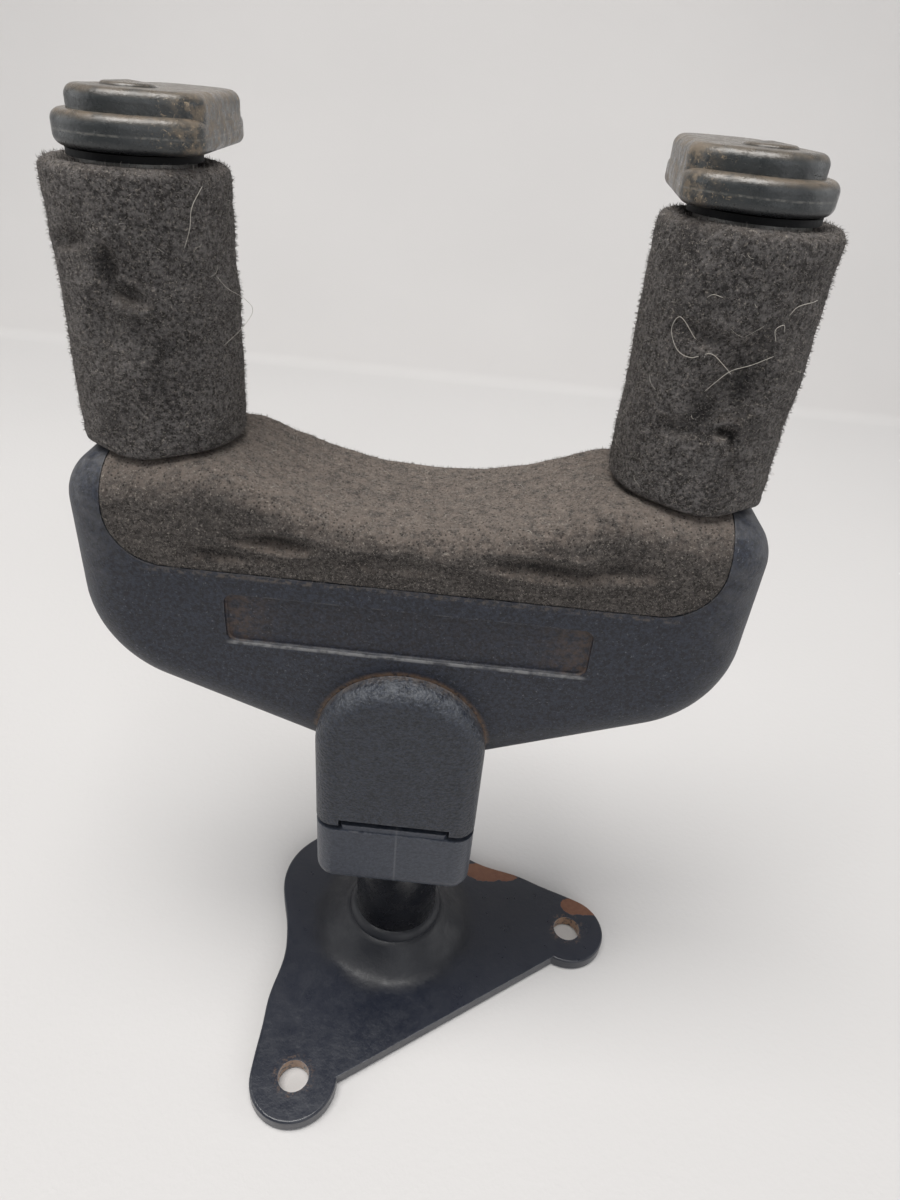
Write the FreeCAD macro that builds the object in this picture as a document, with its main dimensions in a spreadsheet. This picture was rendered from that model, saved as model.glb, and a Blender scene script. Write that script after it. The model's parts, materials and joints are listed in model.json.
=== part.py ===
import FreeCAD, Part
import Sketcher
import math
import os

# Wall hanger for a guitar: a plate on the wall, a short tube, a swivelling arm
# head and a padded yoke whose weight-operated gates turn in front of the neck.
# Millimetres: the wall is the plane Y = 0, the arm tube's axis is the Y axis
# and points out of the wall towards -Y, +Z is up. "right" is +X, seen by a
# person who faces the wall. "Distance" below means distance from the wall (-Y).

Vector, Placement, Rotation = FreeCAD.Vector, FreeCAD.Placement, FreeCAD.Rotation

# alias, value, note
DIMENSIONS = [
    # gaps between neighbouring pieces
    ("close_gap", 0.02, "gap of a close fit"),
    ("slide_gap", 0.05, "gap of a sliding fit"),
    ("loose_gap", 0.1, "gap of a loose fit"),
    ("bolt_gap", 0.3, "gap round the swivel bolt"),
    # wall plate
    ("plate_thick", 2.8, "wall plate sheet thickness"),
    ("plate_rounding", 0.5, "rounding of the plate's outer rim"),
    ("plate_turn", -35.13, "turn of the wall plate about the tube axis at rest, degrees"),
    ("plate_top_rise", 4.5, "straight top edge above the upper holes"),
    ("hole_radius", 3.2, "wall screw hole radius"),
    ("hole_half_spacing", 36.15, "half the distance between the two upper wall holes"),
    ("hole_rise", 23.3, "upper wall holes above the tube axis, plate upright"),
    ("hole_drop", 23.6, "lower wall hole below the tube axis, plate upright"),
    ("lobe_radius", 9.0, "rounded ear around each upper hole"),
    ("boss_radius", 20.2, "pressed boss, outer radius"),
    ("boss_height", 6.2, "pressed boss, rise above the plate"),
    ("boss_hole", 9.57, "hole at the top of the boss for the tube"),
    ("boss_lip", 2.6, "length of the hole's straight wall"),
    ("boss_opening_inset", 1.2, "opening in the sheet, inside the boss radius"),
    # arm tube
    ("tube_radius", 9.525, "arm tube outer radius"),
    ("tube_bore", 7.525, "arm tube inner radius"),
    ("tube_start", 6.4, "tube inner end, distance"),
    ("tube_end", 58.6, "tube outer end, distance"),
    ("weld_leg", 1.5, "fillet weld leg"),
    ("weld_gap", 0.03, "gap between weld and boss"),
    ("plug_radius", 7.5, "threaded plug in the end of the tube"),
    ("plug_length", 14.0, "threaded plug length"),
    ("plug_recess", 0.4, "plug face inside the tube's end"),
    ("washer_thick", 1.2, "thickness of both washers"),
    ("bolt_washer_start", 64.0, "bolt washer, distance"),
    ("bolt_washer_radius", 5.6, "bolt washer outer radius"),
    ("bolt_washer_gap", 0.15, "gap between bolt washer and bolt"),
    ("bolt_radius", 3.0, "swivel bolt thread radius"),
    ("bolt_start", 46.5, "swivel bolt inner end, distance"),
    ("bolt_head_radius", 5.0, "swivel bolt head radius"),
    ("bolt_head_end", 71.0, "swivel bolt head outer face, distance"),
    ("bolt_socket_radius", 2.9, "hexagon socket, centre to corner"),
    ("bolt_socket_depth", 3.0, "hexagon socket depth"),
    # arm head
    ("hub_radius", 13.0, "core hub outer radius"),
    ("hub_start", 41.0, "core hub wall-side face, distance"),
    ("hub_end", 60.0, "core hub outer end, distance"),
    ("bush_outer", 11.0, "swivel bush outer radius"),
    ("bush_inner", 9.575, "swivel bush inner radius"),
    ("bush_end", 58.3, "swivel bush outer end, distance"),
    ("core_top", 5.9, "top face of the core above the tube axis"),
    ("core_low", 12.9, "bottom face of the core below the tube axis"),
    ("core_neck_half", 12.0, "half width of the core in the yoke's throat"),
    ("core_neck_start", 58.0, "start of the core's neck, distance"),
    ("core_head_half", 17.0, "half width of the core's T head"),
    ("core_head_start", 78.0, "T head, distance"),
    ("core_end", 93.8, "outer end of the core, distance"),
    ("core_channel", 6.8, "radius of the channel for the bolt head"),
    ("bar_thick", 2.5, "drive bar sheet thickness"),
    ("bar_half", 43.0, "half length of the drive bar"),
    ("bar_half_height", 4.6, "half height of the drive bar"),
    ("bar_corner", 3.0, "drive bar corner radius"),
    ("bar_opening", 5.2, "radius of the hole in the middle of the bar"),
    ("bar_opening_rise", 0.2, "centre of that hole above the tube axis"),
    ("bar_screw_x", 11.0, "bar screws from the middle"),
    ("bar_screw_radius", 2.0, "bar screw shank radius"),
    ("bar_screw_length", 8.5, "bar screw length under the head"),
    ("bar_screw_head", 3.4, "bar screw head radius"),
    ("bar_screw_head_thick", 2.2, "bar screw head thickness"),
    ("collar_half", 15.4, "half width of collar and covers"),
    ("collar_start", 40.5, "collar wall-side face, distance"),
    ("collar_end", 56.0, "collar outer face, distance"),
    ("collar_up", 20.0, "collar top above the tube axis"),
    ("collar_down", 16.5, "collar bottom below the tube axis"),
    ("tab_length", 1.4, "length of the collar's raised tab"),
    ("cover_leg", 57.0, "arch cover legs, distance"),
    ("cover_leg_inside", 12.9, "inner face of the legs' lower blocks, from the middle"),
    ("cover_notch", 59.0, "arch cover notch, distance"),
    ("cover_arch", 76.3, "centre of the cover's arch, distance"),
    ("cover_seat", 15.6, "underside of the arch cover's lip above the axis"),
    ("cover_rise", 4.5, "thickness of the arch cover's lip"),
    ("cover_back", 60.1, "outer end of the cover skirts, distance"),
    ("cover_step", 0.35, "cover skirts inside the collar's half width"),
    ("cover_crown_radius", 3.6, "rounding of collar and arch cover edges"),
    ("cover_leg_rounding", 0.8, "rounding of the leg ends"),
    ("under_gap", 0.3, "gap between collar and under cover"),
    # yoke
    ("yoke_half", 56.4, "half width of the yoke"),
    ("yoke_half_thick", 15.5, "half thickness of the yoke"),
    ("yoke_top", 125.6, "yoke shoulder, distance"),
    ("yoke_elbow", 87.65, "corner of side and sloping lower edge, distance"),
    ("yoke_neck_half", 15.4, "half width of the yoke's neck"),
    ("yoke_neck_top", 71.75, "where the sloping edge meets the neck, distance"),
    ("yoke_neck", 60.4, "neck end face, distance"),
    ("shoulder_radius", 8.3, "shoulder corner radius"),
    ("elbow_radius", 20.0, "elbow corner radius"),
    ("yoke_edge", 8.0, "rounding of the yoke's long edges"),
    ("yoke_wall", 2.6, "thickness of the yoke's side walls"),
    ("cavity_half_thick", 13.1, "half height of the hollow in the yoke"),
    ("cavity_end", 105.5, "outer end of the hollow, distance"),
    ("cavity_edge", 3.5, "rounding of the hollow's long edges"),
    ("throat_half", 12.3, "half width of the passage in the neck"),
    ("saddle_radius", 70.0, "radius of the saddle's hollow"),
    ("saddle_low", 118.8, "lowest line of the saddle, distance"),
    ("pad_half", 48.7, "half length of the saddle pad"),
    ("pad_edge", 108.9, "edge of the pad's flaps, distance"),
    ("pad_corner", 9.0, "corner radius of the pad's flaps"),
    ("pad_skin", 3.1, "thickness of the pad's flaps"),
    ("pad_crown", 4.5, "thickness of the pad on top"),
    ("panel_half", 30.5, "half length of the recessed panel"),
    ("panel_near", 95.3, "recessed panel near edge, distance"),
    ("panel_far", 104.9, "recessed panel far edge, distance"),
    ("panel_depth", 0.8, "depth of the recessed panel"),
    ("panel_corner", 1.8, "recessed panel corner radius"),
    ("panel_rounding", 0.35, "rounding of the panel's floor edge"),
    ("rib_inside", 17.25, "inner face of the guide ribs, from the middle"),
    ("rib_outside", 19.25, "outer face of the guide ribs, from the middle"),
    ("screw_boss", 4.2, "radius of the shell screw bosses"),
    ("screw_pilot", 1.5, "pilot hole radius in the top shell"),
    ("screw_passage", 1.8, "screw passage radius in the bottom shell"),
    ("screw_seat", 3.1, "radius of the screw head's seat"),
    ("screw_seat_drop", 11.6, "screw head's seat below the axis"),
    ("screw_radius", 1.45, "shell screw shank radius"),
    ("screw_head", 2.9, "shell screw head radius"),
    # return springs
    ("spring_x", 12.6, "spring axis from the middle"),
    ("spring_y", 82.6, "spring axis, distance"),
    ("spring_post", 1.9, "radius of the post inside the spring"),
    ("spring_pocket", 3.4, "radius of the spring's pocket in the core"),
    ("spring_pocket_drop", 8.5, "floor of the pocket below the axis"),
    # prongs
    ("prong_x", 42.5, "prong axis from the middle of the yoke"),
    ("seat_y", 126.0, "foot of the foam sleeve, distance"),
    ("sleeve_radius", 12.5, "foam sleeve outer radius"),
    ("sleeve_length", 39.4, "foam sleeve length"),
    ("prong_radius", 8.0, "prong tube outer radius"),
    ("prong_bore", 6.0, "prong tube inner radius"),
    ("prong_start", 104.0, "prong tube inner end, distance"),
    ("prong_end", 165.5, "prong tube outer end, distance"),
    ("set_screw_y", 114.0, "set screw axis, distance"),
    ("set_screw_radius", 1.98, "set screw radius"),
    ("tapped_radius", 2.02, "radius of the holes for set screws and bar screws"),
    # gates
    ("shaft_radius", 3.5, "gate shaft radius"),
    ("shaft_start", 97.4, "gate shaft inner end, distance"),
    ("shaft_end", 170.8, "gate shaft outer end, distance"),
    ("flat_start", 166.45, "start of the shaft's flat, distance"),
    ("finger_start", 166.7, "gate finger's wall-side face, distance"),
    ("finger_hub_start", 166.5, "hub behind the finger, distance"),
    ("finger_hub_radius", 8.5, "hub behind the finger, radius"),
    ("finger_flange", 4.3, "thickness of the finger's wider tier"),
    ("finger_tier", 2.8, "thickness of the finger's outer tier"),
    ("finger_radius", 11.2, "finger round end radius"),
    ("finger_reach", 26.8, "finger tip from the prong axis"),
    ("tier_overlap", 1.2, "depth by which the outer tier enters the wider one"),
    ("plug_disc", 3.7, "radius of the plug on the finger"),
    ("gate_screw_seat", 171.8, "seat of the gate screw's head, distance"),
    ("gate_screw_head", 3.4, "gate screw head radius"),
    ("gate_screw_end", 173.0, "gate screw head outer face, distance"),
    ("travel", 7.0, "travel of the yoke on the core"),
    ("crank_radius", 5.445, "crank pin from the shaft axis"),
    ("crank_rest", 40.0, "crank angle below horizontal at rest, degrees"),
    ("crank_disc", 9.0, "crank disc radius"),
    ("crank_end", 102.3, "crank disc outer face, distance"),
    ("crank_pin", 1.8, "crank pin radius"),
    ("roll_pin_y", 99.9, "roll pin axis, distance"),
    ("roll_pin", 1.0, "roll pin radius"),
]

SIDES = ((1, "right"), (-1, "left"))

# Right flank of the upright plate: X, depth below the upper holes
FLANK = [
    (43.82, 4.72), (40.5, 9.7), (37.5, 14.0), (34.8, 18.2), (32.0, 21.5), (29.4, 24.3),
    (27.2, 27.2), (25.6, 30.2), (24.2, 33.5), (23.0, 37.0), (22.0, 40.6), (20.8, 44.2),
    (18.8, 47.8), (15.9, 50.9), (12.1, 53.2), (8.0, 54.4), (0.0, 55.0),
]
EAR_MID_ANGLE = math.radians(50)  # a point on the ear's arc, above horizontal

# Shell screws: distance from the middle, Y
SHELL_SCREWS = [(41.0, -88.5), (24.0, -101.2), (27.0, -85.5)]

os.makedirs("parts", exist_ok=True)
doc = FreeCAD.newDocument("wall_guitar_hanger")
sheet = doc.addObject("Spreadsheet::Sheet", "Dimensions")
for row, (alias, value, note) in enumerate(DIMENSIONS, 1):
    sheet.set("A%d" % row, note)
    sheet.set("B%d" % row, str(value))
    sheet.setAlias("B%d" % row, alias)
doc.recompute()
pieces = []


# ------------------------------------------------------------------ helpers
# Sizes and places are numbers or expressions in which every word is an alias.

def size(alias):
    return float(sheet.get(alias))


def bind(obj, prop, value):
    text = word = ""
    for char in f"{value} ":
        if char.isalpha() or char == "_":
            word += char
            continue
        if word:
            text += "Dimensions." + word
            word = ""
        text += char
    obj.setExpression(prop, text.strip())


def keep(obj):
    # marks an object as a finished piece to export
    pieces.append(obj)


def move_x(obj, x):
    obj.Placement = Placement(Vector(x, 0, 0), Rotation())


def new_body(name):
    return doc.addObject("PartDesign::Body", name)


def new_sketch(body, name, role, lift=None):
    # on XZ_Plane the sketch's y is Z and lift is a distance from the wall
    sketch = body.newObject("Sketcher::SketchObject", name)
    plane = [item for item in body.Origin.OriginFeatures if item.Role == role][0]
    sketch.AttachmentSupport = (plane, [""])
    sketch.MapMode = "FlatFace"
    if lift is not None:
        bind(sketch, "AttachmentOffset.Base.z", lift)
    return sketch


def pad(body, sketch, name, length, midplane=False):
    feature = body.newObject("PartDesign::Pad", name)
    feature.Profile = sketch
    bind(feature, "Length", length)
    feature.Midplane = midplane
    doc.recompute()


def pocket_through(body, sketch, name):
    before = body.Shape.Volume
    feature = body.newObject("PartDesign::Pocket", name)
    feature.Profile = sketch
    feature.Type = "ThroughAll"
    feature.Midplane = True
    doc.recompute()
    if not body.Shape.Volume < before - 0.01:
        raise RuntimeError(name + " cuts nothing")


def revolve(body, sketch, name):
    # full turn about the sketch's vertical axis
    feature = body.newObject("PartDesign::Revolution", name)
    feature.Profile = sketch
    feature.ReferenceAxis = (sketch, ["V_Axis"])
    feature.Angle = 360
    doc.recompute()


def lies_at(edge, axis, *levels):
    # whether an edge lies flat at one of the levels on the axis "Y" or "Z"
    low = getattr(edge.BoundBox, axis + "Min")
    high = getattr(edge.BoundBox, axis + "Max")
    return any(abs(low - level) < 1e-4 and abs(high - level) < 1e-4 for level in levels)


def fillet(body, name, radius, chosen):
    # rounds the edges of the body's tip for which chosen(edge) holds
    base = body.Tip
    names = ["Edge%d" % i for i, edge in enumerate(base.Shape.Edges, 1) if chosen(edge)]
    feature = body.newObject("PartDesign::Fillet", name)
    feature.Base = (base, names)
    bind(feature, "Radius", radius)
    doc.recompute()
    if "Invalid" in feature.State or not feature.Shape.isValid() or not names:
        raise RuntimeError(name + " failed on " + ",".join(names))


def circle(sketch, radius, x=0, y=0, x_link=None, y_link=None):
    start = 10 if isinstance(radius, str) else radius  # first guess for a bound radius
    index = sketch.addGeometry(Part.Circle(Vector(x, y, 0), Vector(0, 0, 1), start), False)
    if x == 0 and y == 0:
        sketch.addConstraint(Sketcher.Constraint("Coincident", index, 3, -1, 1))
    else:
        for kind, place, link in (("DistanceX", x, x_link), ("DistanceY", y, y_link)):
            number = sketch.addConstraint(Sketcher.Constraint(kind, -1, 1, index, 3, place))
            if link:
                bind(sketch, "Constraints[%d]" % number, link)
    number = sketch.addConstraint(Sketcher.Constraint("Radius", index, start))
    bind(sketch, "Constraints[%d]" % number, radius)


def lines(sketch, points):
    for start, end in zip(points, points[1:]):
        sketch.addGeometry(Part.LineSegment(start, end), False)


def outline(sketch, corners):
    # closed outline of straight lines; corners are x, y, radius of the tangent arc
    points = [Vector(x, y, 0) for x, y, radius in corners]
    joints = []
    for i, (x, y, radius) in enumerate(corners):
        corner = points[i]
        if radius <= 0:
            joints.append((corner, None, corner))
            continue
        back = (points[i - 1] - corner).normalize()
        ahead = (points[(i + 1) % len(points)] - corner).normalize()
        half = math.acos(max(-1, min(1, back.dot(ahead)))) / 2
        reach = radius / math.tan(half)
        inward = (back + ahead).normalize()
        centre = corner + inward * (radius / math.sin(half))
        joints.append((corner + back * reach, centre - inward * radius, corner + ahead * reach))
    for i, (start, middle, end) in enumerate(joints):
        if middle is not None:
            sketch.addGeometry(Part.Arc(start, middle, end), False)
        following = joints[(i + 1) % len(joints)][0]
        if (following - end).Length > 1e-6:
            sketch.addGeometry(Part.LineSegment(end, following), False)


def rectangle(sketch, x_low, x_high, y_low, y_high, radius_low, radius_high):
    # corner radii are given for the low y side and the high y side
    outline(sketch, [(x_low, y_low, radius_low), (x_high, y_low, radius_low),
                     (x_high, y_high, radius_high), (x_low, y_high, radius_high)])


def ring(name, start, length, outer, inner, x=0.0):
    # a tube or washer round an axis parallel to Y
    body = new_body(name)
    sketch = new_sketch(body, name + "_section", "XZ_Plane", start)
    circle(sketch, outer)
    circle(sketch, inner)
    pad(body, sketch, name + "_length", length)
    move_x(body, x)
    return body


ALONG_X = Rotation(Vector(0, 1, 0), 90)
ALONG_Y = Rotation(Vector(1, 0, 0), 90)  # out of the wall, towards -Y
ALONG_Z = Rotation()


def primitive(kind, name, x, y, z, turn, **sizes):
    shape = doc.addObject("Part::" + kind, name)
    shape.Placement = Placement(Vector(0, 0, 0), turn)
    for prop, value in sizes.items():
        bind(shape, prop, value)
    for axis, value in (("x", x), ("y", y), ("z", z)):
        bind(shape, "Placement.Base." + axis, value)
    return shape


def length_of(start, end):
    return f"({end})-({start})"


def around(centre, half):
    return f"{centre}-({half})", f"{centre}+({half})"


def away(start, end):
    # Y span between two distances from the wall
    return f"-({end})", f"-({start})"


def block(name, x_span, y_span, z_span):
    return primitive("Box", name, x_span[0], y_span[0], z_span[0], ALONG_Z,
                     Length=length_of(*x_span), Width=length_of(*y_span),
                     Height=length_of(*z_span))


def rod_x(name, radius, y, z, x_span):
    return primitive("Cylinder", name, x_span[0], y, z, ALONG_X,
                     Radius=radius, Height=length_of(*x_span))


def rod_y(name, radius, x, z, start, end):
    # start and end are distances from the wall
    return primitive("Cylinder", name, x, f"-({start})", z, ALONG_Y,
                     Radius=radius, Height=length_of(start, end))


def rod_z(name, radius, x, y, low, high):
    return primitive("Cylinder", name, x, y, low, ALONG_Z,
                     Radius=radius, Height=length_of(low, high))


def hexagon(name, radius, height, x, y, z, turn):
    shape = primitive("Prism", name, x, y, z, turn, Circumradius=radius, Height=height)
    shape.Polygon = 6
    return shape


def combine(kind, name, shapes):
    result = doc.addObject("Part::" + kind, name)
    result.Shapes = shapes
    return result


def cut(name, base, *tools):
    tool = tools[0] if len(tools) == 1 else combine("MultiFuse", name + "_tools", list(tools))
    result = doc.addObject("Part::Cut", name)
    result.Base = base
    result.Tool = tool
    doc.recompute()
    if result.Shape.isNull() or not result.Shape.Volume < base.Shape.Volume - 0.005:
        raise RuntimeError(name + " cuts nothing")
    return result


def fuse(name, *shapes):
    result = combine("MultiFuse", name, list(shapes))
    result.Refine = True
    doc.recompute()
    return result


def common(name, first, second):
    result = combine("MultiCommon", name, [first, second])
    doc.recompute()
    return result


def compound(name, members):
    result = doc.addObject("Part::Compound", name)
    result.Links = members
    return result


# ------------------------------------------------------------------ wall plate

def boss_crown():
    # outer side of the boss's section; X is the radius, -Y the distance
    radius, face = size("boss_radius"), size("plate_thick")
    # inset from the boss radius, rise above the plate
    stations = [(0, 0), (2.3, 0.3), (4.9, 1.85), (7.4, 4.2)]
    points = [Vector(radius - inset, -face - rise, 0) for inset, rise in stations]
    points.append(Vector(size("boss_hole"), -face - size("boss_height"), 0))
    curve = Part.BSplineCurve()
    curve.interpolate(Points=points, InitialTangent=Vector(-2.4, 0, 0),
                      FinalTangent=Vector(-2.4, -0.5, 0))
    return curve


def plate_outline(sketch):
    # two ears on top, rounded tip below, tube axis at the origin
    hole_x, hole_z, lobe = size("hole_half_spacing"), size("hole_rise"), size("lobe_radius")
    top_rise = size("plate_top_rise")
    right = [Vector(x, hole_z - depth, 0) for x, depth in FLANK]
    left = [Vector(-x, hole_z - depth, 0) for x, depth in reversed(FLANK)]
    # the flank leaves each ear at a right angle to the line from the hole
    foot_x, foot_depth = FLANK[0]
    across = foot_x - hole_x
    flank = Part.BSplineCurve()
    flank.interpolate(Points=right + left[1:], InitialTangent=Vector(-foot_depth, -across, 0),
                      FinalTangent=Vector(-foot_depth, across, 0))
    ear_middle_x = hole_x + lobe * math.cos(EAR_MID_ANGLE)
    ear_middle_z = hole_z + lobe * math.sin(EAR_MID_ANGLE)
    top_x = hole_x - math.sqrt(lobe ** 2 - top_rise ** 2)
    top_right = Vector(top_x, hole_z + top_rise, 0)
    top_left = Vector(-top_x, hole_z + top_rise, 0)
    sketch.addGeometry(flank, False)
    sketch.addGeometry(Part.Arc(right[0], Vector(ear_middle_x, ear_middle_z, 0), top_right), False)
    sketch.addGeometry(Part.LineSegment(top_right, top_left), False)
    sketch.addGeometry(Part.Arc(top_left, Vector(-ear_middle_x, ear_middle_z, 0), left[-1]), False)


def boss_profile(sketch):
    radius, hole, face = size("boss_radius"), size("boss_hole"), size("plate_thick")
    lip_outer = -face - size("boss_height")
    lip_inner = lip_outer + size("boss_lip")
    # wall side of the section: inset from the boss radius, distance from the wall
    hollow = [(8.6, face + 2.9), (6.2, face + 0.5), (3.8, 0.75), (1.4, 0)]
    points = [Vector(hole, lip_inner, 0)]
    points += [Vector(radius - inset, -distance, 0) for inset, distance in hollow]
    lines(sketch, [points[-1], Vector(radius, 0, 0), Vector(radius, -face, 0)])
    sketch.addGeometry(boss_crown(), False)
    lines(sketch, [Vector(hole, lip_outer, 0), points[0]])
    curve = Part.BSplineCurve()
    curve.interpolate(points)
    sketch.addGeometry(curve, False)


def wall_plate():
    # modelled upright, then turned about the tube axis
    plate = new_body("wall_plate")
    sketch = new_sketch(plate, "plate_outline", "XZ_Plane")
    plate_outline(sketch)
    pad(plate, sketch, "plate_sheet", "plate_thick")
    sketch = new_sketch(plate, "boss_opening", "XZ_Plane")
    circle(sketch, "boss_radius - boss_opening_inset")
    pocket_through(plate, sketch, "boss_opening_cut")
    sketch = new_sketch(plate, "boss_profile", "XY_Plane")
    boss_profile(sketch)
    revolve(plate, sketch, "boss")
    sketch = new_sketch(plate, "wall_holes", "XZ_Plane")
    for side, tag in SIDES:
        circle(sketch, "hole_radius", side * size("hole_half_spacing"), size("hole_rise"),
               f"{side}*hole_half_spacing", "hole_rise")
    circle(sketch, "hole_radius", 0, -size("hole_drop"), None, "-hole_drop")
    pocket_through(plate, sketch, "wall_hole_cuts")
    fillet(plate, "plate_edge_break", "plate_rounding",
           lambda edge: lies_at(edge, "Y", -size("plate_thick"))
           and (edge.BoundBox.XMax > 40 or edge.BoundBox.XMin < -40))
    plate.Placement = Placement(Vector(0, 0, 0), Rotation(Vector(0, 1, 0), size("plate_turn")))
    keep(plate)


# ------------------------------------------------------------------ arm tube

def crown_at(crown, x):
    # Y of the boss crown at radius x, found by bisection
    low, high = crown.FirstParameter, crown.LastParameter
    for _ in range(40):
        middle = (low + high) / 2
        if crown.value(middle).x > x:
            low = middle
        else:
            high = middle
    return crown.value(low).y


def tube_weld():
    # bead in the corner between the tube and the crown of the boss
    body = new_body("tube_weld")
    sketch = new_sketch(body, "weld_profile", "XY_Plane")
    inner = size("tube_radius") + size("close_gap")
    hole, leg, gap = size("boss_hole"), size("weld_leg"), size("weld_gap")
    boss_top = -size("plate_thick") - size("boss_height")
    crown = boss_crown()
    foot = [Vector(inner, boss_top - gap, 0)]
    for x in (hole + 0.05, hole + 0.5, hole + 1.0, inner + leg):
        foot.append(Vector(x, crown_at(crown, x) - gap, 0))
    top = Vector(inner, boss_top - gap - leg, 0)
    bulge = Vector(inner + leg * 0.66, boss_top - leg * 0.55, 0)
    lines(sketch, foot)
    sketch.addGeometry(Part.Arc(foot[-1], bulge, top), False)
    lines(sketch, [top, foot[0]])
    revolve(body, sketch, "weld_bead")
    keep(body)


def swivel_bolt():
    seat = "bolt_washer_start + washer_thick"
    shank = rod_y("swivel_bolt_shank", "bolt_radius", 0, 0, "bolt_start", 66)
    head = rod_y("swivel_bolt_head", "bolt_head_radius", 0, 0, seat, "bolt_head_end")
    socket = hexagon("swivel_bolt_socket", "bolt_socket_radius", "bolt_socket_depth + 0.2",
                     0, "bolt_socket_depth - bolt_head_end", 0, ALONG_Y)
    keep(cut("swivel_bolt", fuse("swivel_bolt_blank", shank, head), socket))


def arm_tube():
    keep(ring("arm_tube", "tube_start", "tube_end - tube_start", "tube_radius", "tube_bore"))
    tube_weld()
    keep(ring("tube_plug", "tube_end - plug_length", "plug_length - plug_recess",
              "plug_radius", "bolt_radius + close_gap"))
    keep(ring("friction_washer", "tube_end", "washer_thick",
              "tube_radius - loose_gap", "bolt_radius + bolt_gap"))
    keep(ring("bolt_washer", "bolt_washer_start", "washer_thick",
              "bolt_washer_radius", "bolt_radius + bolt_washer_gap"))
    swivel_bolt()


# ------------------------------------------------------------------ arm head

def swivel_core():
    height = ("-core_low", "core_top")
    blank = fuse(
        "core_blank",
        rod_y("core_hub", "hub_radius", 0, 0, "hub_start", "hub_end"),
        block("core_neck", around(0, "core_neck_half"),
              away("core_neck_start", "core_head_start"), height),
        block("core_t_head", around(0, "core_head_half"),
              away("core_head_start", "core_end"), height))
    tools = [
        rod_y("core_bush_bore", "bush_outer + close_gap", 0, 0, "hub_start - 1", "bush_end + 0.1"),
        rod_y("core_tube_bore", "tube_radius + loose_gap", 0, 0,
              "hub_start - 1", "tube_end + washer_thick"),
        rod_y("core_bolt_hole", "bolt_radius + bolt_gap", 0, 0, 59, 65),
        rod_y("core_bolt_channel", "core_channel", 0, 0, "bolt_washer_start", "core_end + 1"),
    ]
    for side, tag in SIDES:
        tools.append(rod_z("core_spring_pocket_" + tag, "spring_pocket", f"{side}*spring_x",
                           "-spring_y", "-spring_pocket_drop", "core_top + 1"))
        tools.append(rod_y("core_screw_hole_" + tag, "tapped_radius", f"{side}*bar_screw_x",
                           "-travel/2", 87, "core_end + 1"))
    keep(cut("swivel_core", blank, *tools))


def crank_pin_place(side):
    # x and z of the crank pin at rest
    angle, radius = math.radians(size("crank_rest")), size("crank_radius")
    return side * (size("prong_x") - radius * math.cos(angle)), -radius * math.sin(angle)


def drive_bar():
    # bar on the core's outer face, with a level slot for each crank pin
    bar = new_body("drive_bar")
    bar_z, half, half_height = -size("travel") / 2, size("bar_half"), size("bar_half_height")
    sketch = new_sketch(bar, "bar_outline", "XZ_Plane", "core_end")
    corner = size("bar_corner")
    rectangle(sketch, -half, half, bar_z - half_height, bar_z + half_height, corner, corner)
    pad(bar, sketch, "bar_sheet", "bar_thick")
    sketch = new_sketch(bar, "bar_slots", "XZ_Plane", "core_end")
    slot_radius = size("crank_pin") + 0.18
    slot_margin = 0.15
    low_z, high_z = bar_z - slot_radius, bar_z + slot_radius
    near = size("prong_x") - size("crank_radius") - slot_margin
    far = crank_pin_place(1)[0] + slot_margin
    for side, tag in SIDES:
        left, right = sorted((side * near, side * far))
        lines(sketch, [Vector(left, low_z, 0), Vector(right, low_z, 0)])
        sketch.addGeometry(Part.Arc(Vector(right, low_z, 0), Vector(right + slot_radius, bar_z, 0),
                                    Vector(right, high_z, 0)), False)
        lines(sketch, [Vector(right, high_z, 0), Vector(left, high_z, 0)])
        sketch.addGeometry(Part.Arc(Vector(left, high_z, 0), Vector(left - slot_radius, bar_z, 0),
                                    Vector(left, low_z, 0)), False)
        circle(sketch, "bar_screw_radius + loose_gap", side * size("bar_screw_x"), bar_z)
    circle(sketch, "bar_opening", 0, size("bar_opening_rise"))
    pocket_through(bar, sketch, "bar_slot_cuts")
    keep(bar)


def drive_bar_screws():
    face = "core_end + bar_thick"
    screws = []
    for side, tag in SIDES:
        name, x, z = "bar_screw_" + tag, f"{side}*bar_screw_x", "-travel/2"
        blank = fuse(
            name + "_blank",
            rod_y(name + "_shank", "bar_screw_radius", x, z,
                  face + " - bar_screw_length", face + " + 0.5"),
            rod_y(name + "_head", "bar_screw_head", x, z, face, face + " + bar_screw_head_thick"))
        socket = hexagon(name + "_socket", "0.42*bar_screw_head", "bar_screw_head_thick",
                         x, f"-({face} + 0.45*bar_screw_head_thick)", z, ALONG_Y)
        screws.append(cut(name, blank, socket))
    keep(compound("drive_bar_screws", screws))


def collar():
    # moulded block round the hub, with a raised tab under the cover's notch
    body = new_body("collar")
    half, up, down = size("collar_half"), size("collar_up"), size("collar_down")
    corner = 3.8
    tab_half, tab_low, tab_corner = 10.2, 13.6, 0.8
    sketch = new_sketch(body, "collar_section", "XZ_Plane", "collar_start")
    rectangle(sketch, -half, half, -down, up, corner, corner)
    pad(body, sketch, "collar_block", "collar_end - collar_start")
    fillet(body, "collar_foot_edge", "cover_crown_radius",
           lambda edge: lies_at(edge, "Y", -size("collar_start")))
    sketch = new_sketch(body, "collar_tab", "XZ_Plane", "collar_end")
    rectangle(sketch, -tab_half, tab_half, tab_low, up - 0.25, 0, tab_corner)
    pad(body, sketch, "collar_tab_pad", "tab_length")
    sketch = new_sketch(body, "collar_bore", "XZ_Plane")
    circle(sketch, "hub_radius + slide_gap")
    pocket_through(body, sketch, "collar_bore_cut")
    keep(body)


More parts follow.
